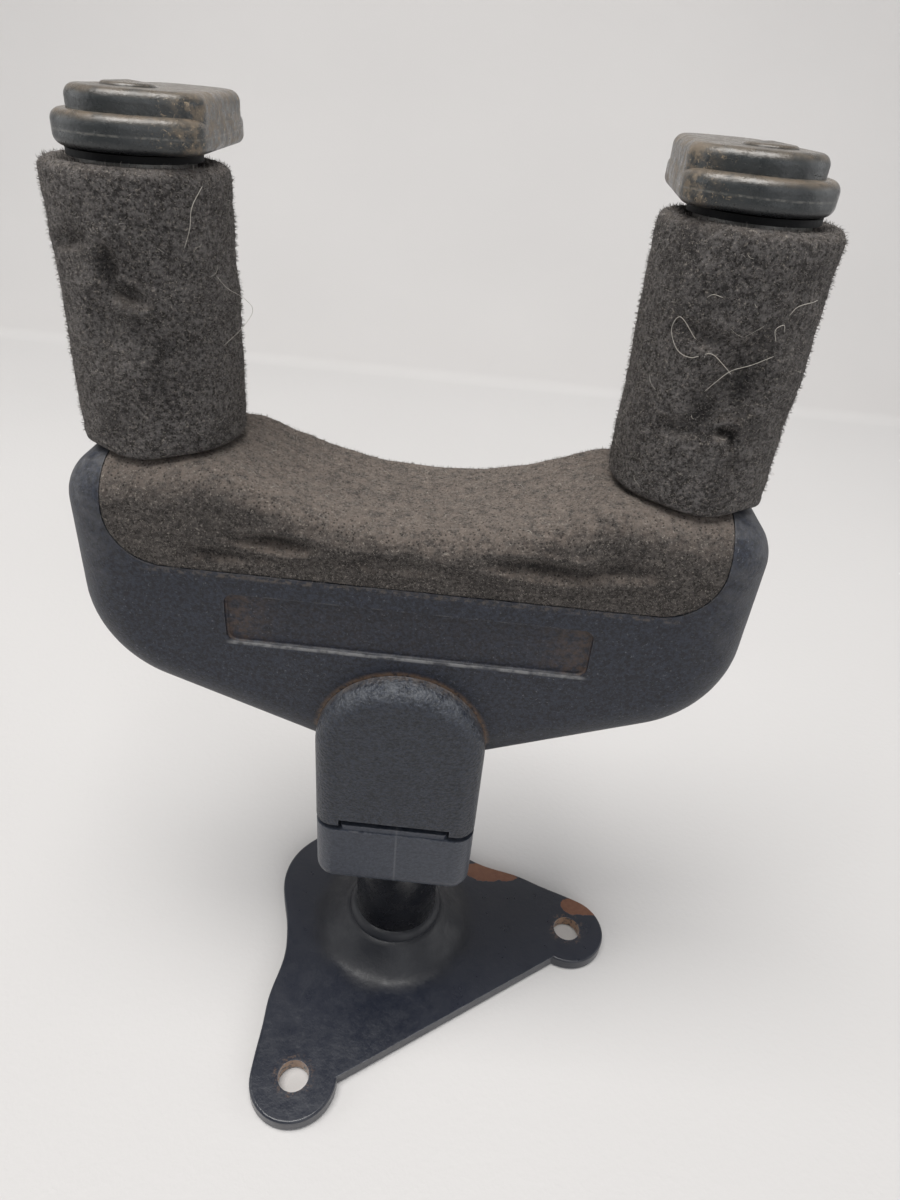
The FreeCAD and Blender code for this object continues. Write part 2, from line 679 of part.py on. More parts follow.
def neck_space(name, z_span):
    # room for the core's neck inside a cover
    return block(name, around(0, "core_neck_half + slide_gap"),
                 away("core_neck_start - 0.1", 62), z_span)


def arch_cover():
    # lip over the yoke's neck with a short skirt over the hub
    cover = new_body("arch_cover_form")
    sketch = new_sketch(cover, "cover_outline", "XY_Plane", "cover_seat")
    half, notch_half = size("collar_half"), 10.6
    leg_y, notch_y, arch_y = -size("cover_leg"), -size("cover_notch"), -size("cover_arch")
    arch_left, arch_right = Vector(-half, arch_y, 0), Vector(half, arch_y, 0)
    lines(sketch, [Vector(-half, leg_y, 0), arch_left])
    sketch.addGeometry(Part.Arc(arch_left, Vector(0, arch_y - half, 0), arch_right), False)
    lines(sketch, [arch_right, Vector(half, leg_y, 0)])
    lines(sketch, [Vector(half, leg_y, 0), Vector(notch_half, leg_y, 0),
                   Vector(notch_half, notch_y, 0), Vector(-notch_half, notch_y, 0),
                   Vector(-notch_half, leg_y, 0), Vector(-half, leg_y, 0)])
    pad(cover, sketch, "cover_lip", "cover_rise")
    seat = size("cover_seat")
    top = seat + size("cover_rise")
    # the arch and both long sides, but not the notch
    fillet(cover, "cover_crown", "cover_crown_radius",
           lambda edge: lies_at(edge, "Z", top)
           and (abs(edge.CenterOfMass.x) > 15.3 or edge.CenterOfMass.y < arch_y - 2))
    fillet(cover, "cover_leg_edge", "cover_leg_rounding",
           lambda edge: lies_at(edge, "Y", leg_y)
           and edge.BoundBox.ZMax > top - 3 and edge.BoundBox.ZMin > seat + 0.4)
    skirt_z = ("slide_gap", "cover_seat + 0.6")
    leg_span = away("cover_leg", "cover_notch + 0.5")
    blank = fuse(
        "arch_cover_blank", cover,
        block("cover_skirt", around(0, "collar_half - cover_step"),
              away("cover_notch", "cover_back"), skirt_z),
        block("cover_leg_left", ("cover_step - collar_half", "-cover_leg_inside"),
              leg_span, skirt_z),
        block("cover_leg_right", ("cover_leg_inside", "collar_half - cover_step"),
              leg_span, skirt_z))
    keep(cut("arch_cover", blank,
             rod_y("cover_hub_space", "hub_radius + slide_gap", 0, 0, 50, 60.2),
             neck_space("cover_neck_space", (-1, "core_top + slide_gap"))))


def under_cover():
    body = new_body("under_cover_form")
    sketch = new_sketch(body, "under_section", "XZ_Plane", "collar_end + under_gap")
    half = size("collar_half") - size("cover_step")
    corner = 3.4
    rectangle(sketch, -half, half, 0.2 - size("collar_down"), -size("slide_gap"), corner, 0)
    pad(body, sketch, "under_block", "cover_back - collar_end - under_gap")
    keep(cut("under_cover", body,
             rod_y("under_hub_space", "hub_radius + slide_gap", 0, 0, 50, 61),
             neck_space("under_neck_space", ("-core_low - slide_gap", 1))))


# ------------------------------------------------------------------ yoke

def yoke_slope():
    # slope of the right lower edge, Y over X
    return ((size("yoke_neck_top") - size("yoke_elbow"))
            / (size("yoke_half") - size("yoke_neck_half")))


def scoop(name, extra):
    # cylinder that hollows the saddle, its radius larger by extra
    return rod_z(name, f"saddle_radius + {extra}", 0, "-(saddle_low + saddle_radius)", -30, 30)


def yoke_outer():
    # solid outer form of the yoke with the saddle scooped out
    body = new_body("yoke_form")
    sketch = new_sketch(body, "yoke_outline", "XY_Plane")
    half, top, elbow = size("yoke_half"), -size("yoke_top"), -size("yoke_elbow")
    # the sloping lower edges run on to a peak inside the neck
    peak = -size("yoke_neck_top") - size("yoke_neck_half") * yoke_slope()
    shoulder_radius, elbow_radius = size("shoulder_radius"), size("elbow_radius")
    outline(sketch, [(half, top, shoulder_radius), (half, elbow, elbow_radius), (0, peak, 0),
                     (-half, elbow, elbow_radius), (-half, top, shoulder_radius)])
    pad(body, sketch, "yoke_block", "2*yoke_half_thick", midplane=True)
    face = size("yoke_half_thick")
    fillet(body, "yoke_edges", "yoke_edge", lambda edge: lies_at(edge, "Z", face, -face))
    neck = block("yoke_neck_block", around(0, "yoke_neck_half"), away("yoke_neck", 90),
                 around(0, "yoke_half_thick"))
    return cut("yoke_scooped", fuse("yoke_outer", body, neck), scoop("saddle_scoop", 0))


def pad_prism(suffix, gap):
    # outline of the saddle pad through the yoke's whole thickness
    body = new_body("pad_prism" + suffix)
    sketch = new_sketch(body, "pad_outline" + suffix, "XY_Plane")
    half = size("pad_half") - gap
    rectangle(sketch, -half, half, -132, -size("pad_edge") - gap, 0, size("pad_corner"))
    pad(body, sketch, "pad_block" + suffix, 40, midplane=True)
    return body


def pad_core(suffix, gap):
    # part of the yoke that the pad wraps round
    core = block("pad_core_block" + suffix, around(0, "pad_half + 2"),
                 away(100, f"yoke_top - pad_crown + {gap}"),
                 around(0, f"yoke_half_thick - pad_skin + {gap}"))
    return cut("pad_core" + suffix, core,
               scoop("pad_core_scoop" + suffix, f"pad_crown - {gap}"))


def saddle_pad(outer):
    # clear of the plastic all round
    gap = size("slide_gap")
    envelope = common("pad_envelope", outer, pad_prism("_small", gap))
    holes = [rod_y("pad_hole_" + tag, "prong_radius + loose_gap", f"{side}*prong_x", 0, 100, 140)
             for side, tag in SIDES]
    keep(cut("saddle_pad", envelope, pad_core("_large", gap), *holes))


def yoke_cavity():
    body = new_body("yoke_cavity")
    sketch = new_sketch(body, "cavity_outline", "XY_Plane")
    wall, slope, end = size("yoke_wall"), yoke_slope(), -size("cavity_end")
    half, throat = size("yoke_half") - wall, size("throat_half")
    elbow_radius = size("elbow_radius") - wall

    def slope_y(x):
        # inner side of the sloping wall
        return (-size("yoke_neck_top") + (x - size("yoke_neck_half")) * slope
                - wall / math.cos(math.atan(slope)))

    outline(sketch, [(half, end, 0), (half, slope_y(half), elbow_radius),
                     (throat, slope_y(throat), 0), (-throat, slope_y(throat), 0),
                     (-half, slope_y(half), elbow_radius), (-half, end, 0)])
    pad(body, sketch, "cavity_block", "2*cavity_half_thick", midplane=True)
    face = size("cavity_half_thick")
    # all but the short edge across the throat
    fillet(body, "cavity_edges", "cavity_edge",
           lambda edge: lies_at(edge, "Z", face, -face) and abs(edge.CenterOfMass.x) > 5)
    return body


def yoke_panel():
    # shallow recess in the yoke's top face
    body = new_body("panel_form")
    sketch = new_sketch(body, "panel_outline", "XY_Plane", "yoke_half_thick - panel_depth")
    half, corner = size("panel_half"), size("panel_corner")
    rectangle(sketch, -half, half, -size("panel_far"), -size("panel_near"), corner, corner)
    pad(body, sketch, "panel_block", 3)
    floor = size("yoke_half_thick") - size("panel_depth")
    fillet(body, "panel_floor_edge", "panel_rounding", lambda edge: lies_at(edge, "Z", floor))
    return body


def yoke_shells(outer):
    recess = cut("pad_recess", pad_prism("", 0), pad_core("", 0))
    shell_block = cut("yoke_shell_block", outer, recess)
    hollow = [yoke_cavity(), yoke_panel(),
              block("yoke_throat", around(0, "throat_half"), away(60, 78),
                    around(0, "cavity_half_thick"))]
    for side, tag in SIDES:
        hollow.append(rod_y("prong_socket_" + tag, "prong_radius + close_gap",
                            f"{side}*prong_x", 0, 100, 130))
        hollow.append(rod_z("set_screw_hole_" + tag, "tapped_radius",
                            f"{side}*prong_x", "-set_screw_y", -14, 0))

    # ribs that guide the core, posts for the springs, bosses for the shell screws
    inside = 14  # they end inside the shells' top and bottom walls
    added = [cut("yoke_hollowed", shell_block, *hollow)]
    for side, tag in SIDES:
        rib = [f"{side}*rib_inside", f"{side}*rib_outside"][::side]
        added.append(block("guide_rib_" + tag, rib, away(78, 92), (-inside, inside)))
        added.append(rod_z("spring_post_" + tag, "spring_post", f"{side}*spring_x",
                           "-spring_y", 9.4, inside))
        for number, (x, y) in enumerate(SHELL_SCREWS, 1):
            added.append(rod_z(f"screw_boss_{tag}_{number}", "screw_boss", side * x, y,
                               -inside, inside))
    # the additions stay inside the yoke's outer form
    ribbed = common("yoke_ribbed_trim", fuse("yoke_ribbed", *added), outer)

    holes = []
    for side, tag in SIDES:
        for number, (x, y) in enumerate(SHELL_SCREWS, 1):
            for kind, radius, low, high in (("pilot", "screw_pilot", -1, 8),
                                            ("passage", "screw_passage", -16, 0),
                                            ("head_seat", "screw_seat", -16, "-screw_seat_drop")):
                holes.append(rod_z(f"{kind}_{tag}_{number}", radius, side * x, y, low, high))
    shells = cut("yoke_shell_all", ribbed, *holes)
    for name, half_name, z_span in (("yoke_top_shell", "half_up", ("close_gap", 30)),
                                    ("yoke_bottom_shell", "half_down", (-30, 0))):
        half_space = block(half_name, around(0, 80), away(50, 140), z_span)
        keep(common(name, shells, half_space))


def shell_screws():
    # cross-slotted screws driven up from below
    slot_half_length, slot_half_width = 1.6, 0.35
    slot_z = (-14, -12.5)
    screws = []
    for side, tag in SIDES:
        for number, (x, y) in enumerate(SHELL_SCREWS, 1):
            name, x = f"shell_screw_{tag}_{number}", side * x
            blank = fuse(name + "_blank",
                         rod_z(name + "_shank", "screw_radius", x, y, -12, 7),
                         rod_z(name + "_head", "screw_head", x, y,
                               -13.6, "-screw_seat_drop - slide_gap"))
            slots = [block(name + "_slot_a", around(x, slot_half_length),
                           around(y, slot_half_width), slot_z),
                     block(name + "_slot_b", around(x, slot_half_width),
                           around(y, slot_half_length), slot_z)]
            screws.append(cut(name, blank, *slots))
    keep(compound("shell_screws", screws))


# ------------------------------------------------------------------ prongs
# axis is the expression for the prong's x

def prong_tube(side, tag, axis):
    tube = ring(f"prong_tube_{tag}_blank", "prong_start", "prong_end - prong_start",
                "prong_radius", "prong_bore", side * size("prong_x"))
    keep(cut("prong_tube_" + tag, tube,
             rod_z("prong_dimple_" + tag, "tapped_radius", axis, "-set_screw_y", -9, 0)))


def set_screw(tag, axis):
    body = rod_z(f"set_screw_{tag}_body", "set_screw_radius", axis, "-set_screw_y", -12.2, -6.3)
    socket = hexagon(f"set_screw_{tag}_socket", 1.1, 2, axis, "-set_screw_y", -12.4, ALONG_Z)
    return cut("set_screw_" + tag, body, socket)


def foam_sleeve(side, tag):
    # soft tube with rounded rims
    sleeve = new_body("foam_sleeve_" + tag)
    sketch = new_sketch(sleeve, "sleeve_profile_" + tag, "XY_Plane")
    inner, outer = size("prong_radius") + 0.06, size("sleeve_radius")
    foot = -size("seat_y")
    end = foot - size("sleeve_length")
    foot_rim, end_rim = 1.0, 2.6
    outline(sketch, [(inner, foot, 0), (outer, foot, foot_rim),
                     (outer, end, end_rim), (inner, end, 0)])
    revolve(sleeve, sketch, "sleeve_" + tag)
    move_x(sleeve, side * size("prong_x"))
    keep(sleeve)


def gate_bushes(tag, axis):
    # nylon bushes at both ends of the prong tube:
    # name, body span, rim radius, rim span, bore span
    table = [
        ("inner_bush", ("prong_start - 0.5", "prong_start + 10"),
         8, ("prong_start - 1.5", "prong_start"), (95, 120)),
        ("outer_bush", ("prong_end - 10", "prong_end + 0.5"),
         9, ("prong_end", "prong_end + 0.9"), (150, 170)),
    ]
    bushes = []
    for name, body_span, rim_radius, rim_span, bore_span in table:
        blank = fuse(f"{name}_blank_{tag}",
                     rod_y(f"{name}_body_{tag}", "prong_bore - close_gap", axis, 0, *body_span),
                     rod_y(f"{name}_rim_{tag}", rim_radius, axis, 0, *rim_span))
        bore = rod_y(f"{name}_bore_{tag}", "shaft_radius + slide_gap", axis, 0, *bore_span)
        bushes.append(cut(f"{name}_{tag}", blank, bore))
    keep(compound("gate_bushes_" + tag, bushes))


# ------------------------------------------------------------------ gates

def gate_shaft(tag, axis):
    # a flat on top at the finger end, a cross hole at the crank end
    keep(cut(
        "gate_shaft_" + tag,
        rod_y("gate_shaft_blank_" + tag, "shaft_radius", axis, 0, "shaft_start", "shaft_end"),
        block("gate_shaft_flat_" + tag, around(axis, 5), away("flat_start", "shaft_end + 1"),
              ("shaft_radius - 0.7", "shaft_radius + 2")),
        rod_y("gate_shaft_tap_" + tag, 1.6, axis, 0, 160, "shaft_end + 1"),
        rod_x("gate_shaft_cross_" + tag, "roll_pin + close_gap", "-roll_pin_y", 0,
              around(axis, 5))))


def gate_crank(side, tag, axis):
    # disc, its pin and the roll pin that locks it to the shaft
    pin_x, pin_z = crank_pin_place(side)
    keep(cut(
        "gate_crank_" + tag,
        rod_y("crank_disc_" + tag, "crank_disc", axis, 0, "shaft_start", "crank_end"),
        rod_y("crank_bore_" + tag, "shaft_radius + close_gap", axis, 0, 90, 110),
        rod_x("crank_cross_" + tag, "roll_pin + close_gap", "-roll_pin_y", 0, around(axis, 12)),
        rod_y("crank_pin_hole_" + tag, "crank_pin + 0.01", pin_x, pin_z, 95, 100.9)))
    keep(rod_y("crank_pin_" + tag, "crank_pin", pin_x, pin_z, 93.3, 100.8))
    keep(rod_x("crank_roll_pin_" + tag, "roll_pin", "-roll_pin_y", 0, around(axis, 8.6)))


def gate_finger(side, tag):
    # round end on the prong axis, tongue pointing down at rest; made at x = 0
    body = new_body(f"gate_finger_{tag}_form")
    end, tip = size("finger_radius"), -size("finger_reach")
    low_y = -size("finger_start")
    step_y = low_y - size("finger_flange")
    top_y = step_y - size("finger_tier")

    # corners of both tiers: x towards the middle of the yoke, z, corner radius
    flange = [(-end + 1.0, end + 0.5, 9.6), (2.5, end + 0.3, 8), (end + 0.4, end - 3.6, 5.5),
              (9.0, tip, 9.2), (-6.9, tip, 6.3)]
    tier = [(-end + 3.3, end - 1.6, 7.4), (1.8, end - 1.8, 7), (end + 0.1, end - 5.6, 4.6),
            (8.95, tip + 2.2, 7.2), (-4.9, tip + 2.2, 5.0)]
    sketch = new_sketch(body, "finger_flange_outline_" + tag, "XZ_Plane", "finger_start")
    outline(sketch, [(-side * inward, z, radius) for inward, z, radius in flange])
    pad(body, sketch, "finger_flange_" + tag, "finger_flange")
    fillet(body, "finger_flange_low_" + tag, 1.3, lambda edge: lies_at(edge, "Y", low_y))
    fillet(body, "finger_flange_top_" + tag, 1.5, lambda edge: lies_at(edge, "Y", step_y))
    sketch = new_sketch(body, "finger_tier_outline_" + tag, "XZ_Plane",
                        "finger_start + finger_flange - tier_overlap")
    outline(sketch, [(-side * inward, z, radius) for inward, z, radius in tier])
    pad(body, sketch, "finger_tier_" + tag, "finger_tier + tier_overlap")
    fillet(body, "finger_tier_top_" + tag, 1.5, lambda edge: lies_at(edge, "Y", top_y))
    sketch = new_sketch(body, "finger_hub_" + tag, "XZ_Plane", "finger_hub_start")
    circle(sketch, "finger_hub_radius")
    pad(body, sketch, "finger_hub_pad_" + tag, "finger_start - finger_hub_start + 0.5")

    # D-shaped bore for the shaft, then the seat and hole of the screw
    shaft_bore = cut(
        "finger_d_bore_" + tag,
        rod_y("finger_bore_" + tag, "shaft_radius + 0.03", 0, 0, 160.8, "shaft_end"),
        block("finger_flat_" + tag, around(0, 5), away(160, 172),
              ("shaft_radius - 0.66", "shaft_radius + 2")))
    finger = cut(
        "gate_finger_" + tag, body, shaft_bore,
        rod_y("finger_counterbore_" + tag, "plug_disc + close_gap", 0, 0, "gate_screw_seat", 176),
        rod_y("finger_screw_hole_" + tag, 1.8, 0, 0, 165, 176))
    move_x(finger, side * size("prong_x"))
    keep(finger)


def gate_screw(tag, axis):
    blank = fuse("gate_screw_blank_" + tag,
                 rod_y("gate_screw_shank_" + tag, 1.55, axis, 0, 162, 172.2),
                 rod_y("gate_screw_head_" + tag, "gate_screw_head", axis, 0,
                       "gate_screw_seat", "gate_screw_end"))
    slot = block("gate_screw_slot_" + tag, around(axis, 2.2),
                 away("gate_screw_end - 0.6", "gate_screw_end + 1"), around(0, 0.4))
    keep(cut("gate_screw_" + tag, blank, slot))


def gate_plug(side, tag):
    # domed plug over the screw
    plug = new_body("gate_plug_" + tag)
    sketch = new_sketch(plug, "plug_profile_" + tag, "XY_Plane")
    radius = size("plug_disc")
    base, rim, crown = -173.1, -174.15, -174.5
    outline(sketch, [(0, base, 0), (radius, base, 0), (radius, rim, 0.7), (0, crown, 0)])
    revolve(plug, sketch, "plug_" + tag)
    move_x(plug, side * size("prong_x"))
    keep(plug)


def return_spring(side, tag):
    # coil between the pocket in the core and the top shell
    low, high, turns = -7.9, 12.6, 8
    coil_radius, wire_radius = 2.6, 0.4
    helix = Part.makeHelix((high - low) / turns, high - low, coil_radius)
    section = Part.makeCircle(wire_radius, Vector(coil_radius, 0, 0), Vector(0, 1, 0))
    spring = doc.addObject("Part::Feature", "return_spring_" + tag)
    spring.Shape = Part.Wire(helix).makePipeShell([Part.Wire(section)], True, True)
    spring.Placement = Placement(Vector(side * size("spring_x"), -size("spring_y"), low),
                                 Rotation())
    keep(spring)


# ------------------------------------------------------------------ build and write
wall_plate()
arm_tube()
swivel_core()
keep(ring("swivel_bush", "hub_start", "bush_end - hub_start", "bush_outer", "bush_inner"))
drive_bar()
drive_bar_screws()
collar()
arch_cover()
under_cover()
yoke_solid = yoke_outer()
saddle_pad(yoke_solid)
yoke_shells(yoke_solid)
shell_screws()
set_screws = []
for side, tag in SIDES:
    axis = f"{side}*prong_x"
    prong_tube(side, tag, axis)
    set_screws.append(set_screw(tag, axis))
    foam_sleeve(side, tag)
    gate_bushes(tag, axis)
    gate_shaft(tag, axis)
    gate_crank(side, tag, axis)
    gate_finger(side, tag)
    gate_screw(tag, axis)
    gate_plug(side, tag)
    return_spring(side, tag)
keep(compound("tube_set_screws", set_screws))

doc.recompute()
failed = [obj.Name for obj in doc.Objects if "Invalid" in obj.State or "Error" in obj.State]
if failed:
    raise RuntimeError("failed objects: " + ", ".join(failed))
for piece in pieces:
    if piece.Shape.isNull() or not piece.Shape.isValid() or not piece.Shape.Solids:
        raise RuntimeError("bad shape: " + piece.Label)
for piece in pieces:
    piece.Shape.exportStep("parts/%s.step" % piece.Label)
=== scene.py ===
import bpy
import bmesh
import json
import math
import numpy as np
from mathutils import Vector, Matrix, noise


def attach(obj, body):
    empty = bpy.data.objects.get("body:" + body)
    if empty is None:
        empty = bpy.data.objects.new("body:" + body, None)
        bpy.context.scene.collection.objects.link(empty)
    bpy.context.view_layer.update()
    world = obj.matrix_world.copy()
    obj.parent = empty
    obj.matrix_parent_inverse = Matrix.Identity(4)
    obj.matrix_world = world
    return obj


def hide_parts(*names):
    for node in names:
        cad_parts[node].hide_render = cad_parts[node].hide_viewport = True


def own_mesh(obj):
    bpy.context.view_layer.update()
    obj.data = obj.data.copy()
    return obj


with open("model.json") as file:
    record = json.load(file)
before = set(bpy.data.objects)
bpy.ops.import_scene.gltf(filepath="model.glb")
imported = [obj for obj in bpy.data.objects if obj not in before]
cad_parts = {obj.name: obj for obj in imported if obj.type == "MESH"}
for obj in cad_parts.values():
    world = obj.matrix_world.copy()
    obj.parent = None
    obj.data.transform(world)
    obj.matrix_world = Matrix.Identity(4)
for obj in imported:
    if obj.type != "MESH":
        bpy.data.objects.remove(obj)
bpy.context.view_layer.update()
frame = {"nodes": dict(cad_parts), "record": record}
N = frame["nodes"]
MM = 0.001


# ------------------------------------------------------------------ materials
def srgb(r, g, b):
    def f(c):
        c /= 255.0
        return c / 12.92 if c <= 0.04045 else ((c + 0.055) / 1.055) ** 2.4
    return (f(r), f(g), f(b), 1.0)


class Mat:
    """Small helper round a node tree. P is the position in the row frame, in millimetres."""

    def __init__(self, name):
        self.m = bpy.data.materials.new(name)
        self.m.use_nodes = True
        self.t = self.m.node_tree
        self.t.nodes.clear()
        self.out = self.t.nodes.new("ShaderNodeOutputMaterial")
        self.b = self.t.nodes.new("ShaderNodeBsdfPrincipled")
        self.t.links.new(self.b.outputs[0], self.out.inputs[0])
        tc = self.t.nodes.new("ShaderNodeTexCoord")
        mp = self.t.nodes.new("ShaderNodeVectorMath")
        mp.operation = "SCALE"
        mp.inputs["Scale"].default_value = 1000.0
        self.t.links.new(tc.outputs["Object"], mp.inputs[0])
        self.P = mp.outputs[0]
        g = self.t.nodes.new("ShaderNodeNewGeometry")
        self.point = g.outputs["Pointiness"]
        vt = self.t.nodes.new("ShaderNodeVectorTransform")
        vt.vector_type = "NORMAL"
        vt.convert_from, vt.convert_to = "WORLD", "OBJECT"
        self.t.links.new(g.outputs["Normal"], vt.inputs[0])
        self.NV = vt.outputs[0]
        s = self.t.nodes.new("ShaderNodeSeparateXYZ")
        self.t.links.new(self.P, s.inputs[0])
        self.x, self.y, self.z = s.outputs
        s = self.t.nodes.new("ShaderNodeSeparateXYZ")
        self.t.links.new(self.NV, s.inputs[0])
        self.nx, self.ny, self.nz = s.outputs

    def put(self, sock, v):
        if isinstance(v, bpy.types.NodeSocket):
            self.t.links.new(v, sock)
        else:
            sock.default_value = v

    def set(self, **kw):
        names = {"color": "Base Color", "rough": "Roughness", "metal": "Metallic", "normal": "Normal", "spec": "Specular IOR Level",
                 "coat": "Coat Weight", "coat_rough": "Coat Roughness", "sheen": "Sheen Weight", "sheen_rough": "Sheen Roughness",
                 "sheen_tint": "Sheen Tint", "sss": "Subsurface Weight", "ior": "IOR", "aniso": "Anisotropic"}
        for k, v in kw.items():
            self.put(self.b.inputs[names[k]], v)
        return self

    def noise(self, scale, detail=2.0, rough=0.5, dist=0.0, off=0.0, stretch=None):
        n = self.t.nodes.new("ShaderNodeTexNoise")
        n.noise_dimensions = "3D"
        v = self.P
        if stretch or off:
            mp = self.t.nodes.new("ShaderNodeMapping")
            mp.inputs["Location"].default_value = (off, off * 1.7, off * 0.6)
            mp.inputs["Scale"].default_value = stretch or (1, 1, 1)
            self.t.links.new(v, mp.inputs[0])
            v = mp.outputs[0]
        self.t.links.new(v, n.inputs["Vector"])
        n.inputs["Scale"].default_value = scale
        n.inputs["Detail"].default_value = detail
        n.inputs["Roughness"].default_value = rough
        n.inputs["Distortion"].default_value = dist
        return n.outputs["Fac"]

    def voronoi(self, scale, feature="F1", stretch=None):
        n = self.t.nodes.new("ShaderNodeTexVoronoi")
        n.feature = feature
        v = self.P
        if stretch:
            mp = self.t.nodes.new("ShaderNodeMapping")
            mp.inputs["Scale"].default_value = stretch
            self.t.links.new(v, mp.inputs[0])
            v = mp.outputs[0]
        self.t.links.new(v, n.inputs["Vector"])
        n.inputs["Scale"].default_value = scale
        return n.outputs["Distance"]

    def math(self, op, a, b=0.0, c=0.0, clamp=False):
        n = self.t.nodes.new("ShaderNodeMath")
        n.operation = op
        n.use_clamp = clamp
        for i, v in enumerate((a, b, c)):
            self.put(n.inputs[i], v)
        return n.outputs[0]

    def mr(self, v, a, b, lo=0.0, hi=1.0):
        n = self.t.nodes.new("ShaderNodeMapRange")
        n.interpolation_type = "SMOOTHSTEP"
        n.clamp = True
        for i, q in enumerate((v, a, b, lo, hi)):
            self.put(n.inputs[i], q)
        return n.outputs[0]

    def mix(self, f, a, b, mode="MIX"):
        n = self.t.nodes.new("ShaderNodeMix")
        n.data_type = "RGBA"
        n.blend_type = mode
        self.put(n.inputs[0], f)
        self.put(n.inputs[6], a)
        self.put(n.inputs[7], b)
        return n.outputs[2]

    def mixf(self, f, a, b):
        n = self.t.nodes.new("ShaderNodeMix")
        n.data_type = "FLOAT"
        self.put(n.inputs[0], f)
        self.put(n.inputs[2], a)
        self.put(n.inputs[3], b)
        return n.outputs[0]

    def bump(self, h, dist_mm, strength=1.0, normal=None):
        n = self.t.nodes.new("ShaderNodeBump")
        n.inputs["Strength"].default_value = strength
        n.inputs["Distance"].default_value = dist_mm * MM
        self.put(n.inputs["Height"], h)
        if normal is not None:
            self.put(n.inputs["Normal"], normal)
        return n.outputs[0]

    def blob(self, c, r, soft=0.6):
        # 1 inside an ellipsoid at c (mm) with radii r, fading to 0 at its surface
        n = self.t.nodes.new("ShaderNodeVectorMath")
        n.operation = "SUBTRACT"
        self.t.links.new(self.P, n.inputs[0])
        n.inputs[1].default_value = c
        d = self.t.nodes.new("ShaderNodeVectorMath")
        d.operation = "DIVIDE"
        self.t.links.new(n.outputs[0], d.inputs[0])
        d.inputs[1].default_value = r
        l = self.t.nodes.new("ShaderNodeVectorMath")
        l.operation = "LENGTH"
        self.t.links.new(d.outputs[0], l.inputs[0])
        return self.mr(l.outputs[1], 1.0, 1.0 - soft)


def bevel_edge(m, radius_mm, lo=0.02, hi=0.22):
    # 1 near sharp and tightly rounded edges, found by comparing a bevelled normal with the true one
    b = m.t.nodes.new("ShaderNodeBevel")
    b.samples = 4
    b.inputs["Radius"].default_value = radius_mm * MM
    g = m.t.nodes.new("ShaderNodeNewGeometry")
    d = m.t.nodes.new("ShaderNodeVectorMath")
    d.operation = "DOT_PRODUCT"
    m.t.links.new(b.outputs[0], d.inputs[0])
    m.t.links.new(g.outputs["Normal"], d.inputs[1])
    return m.mr(m.math("SUBTRACT", 1.0, d.outputs["Value"]), lo, hi)


def arch_distance(m):
    # distance in mm from the arch cover's outline, seen from above
    q = m.math("MINIMUM", m.math("ADD", m.y, 76.3), 0.0)
    l = m.math("SQRT", m.math("ADD", m.math("MULTIPLY", m.x, m.x), m.math("MULTIPLY", q, q)))
    return m.math("SUBTRACT", l, 15.4)


def wear(m, lo=0.52, hi=0.60):
    # exposed edges, broken up by noise
    return m.math("MULTIPLY", m.mr(m.point, lo, hi), m.mr(m.noise(0.9, 5, 0.7, off=3), 0.42, 0.62))


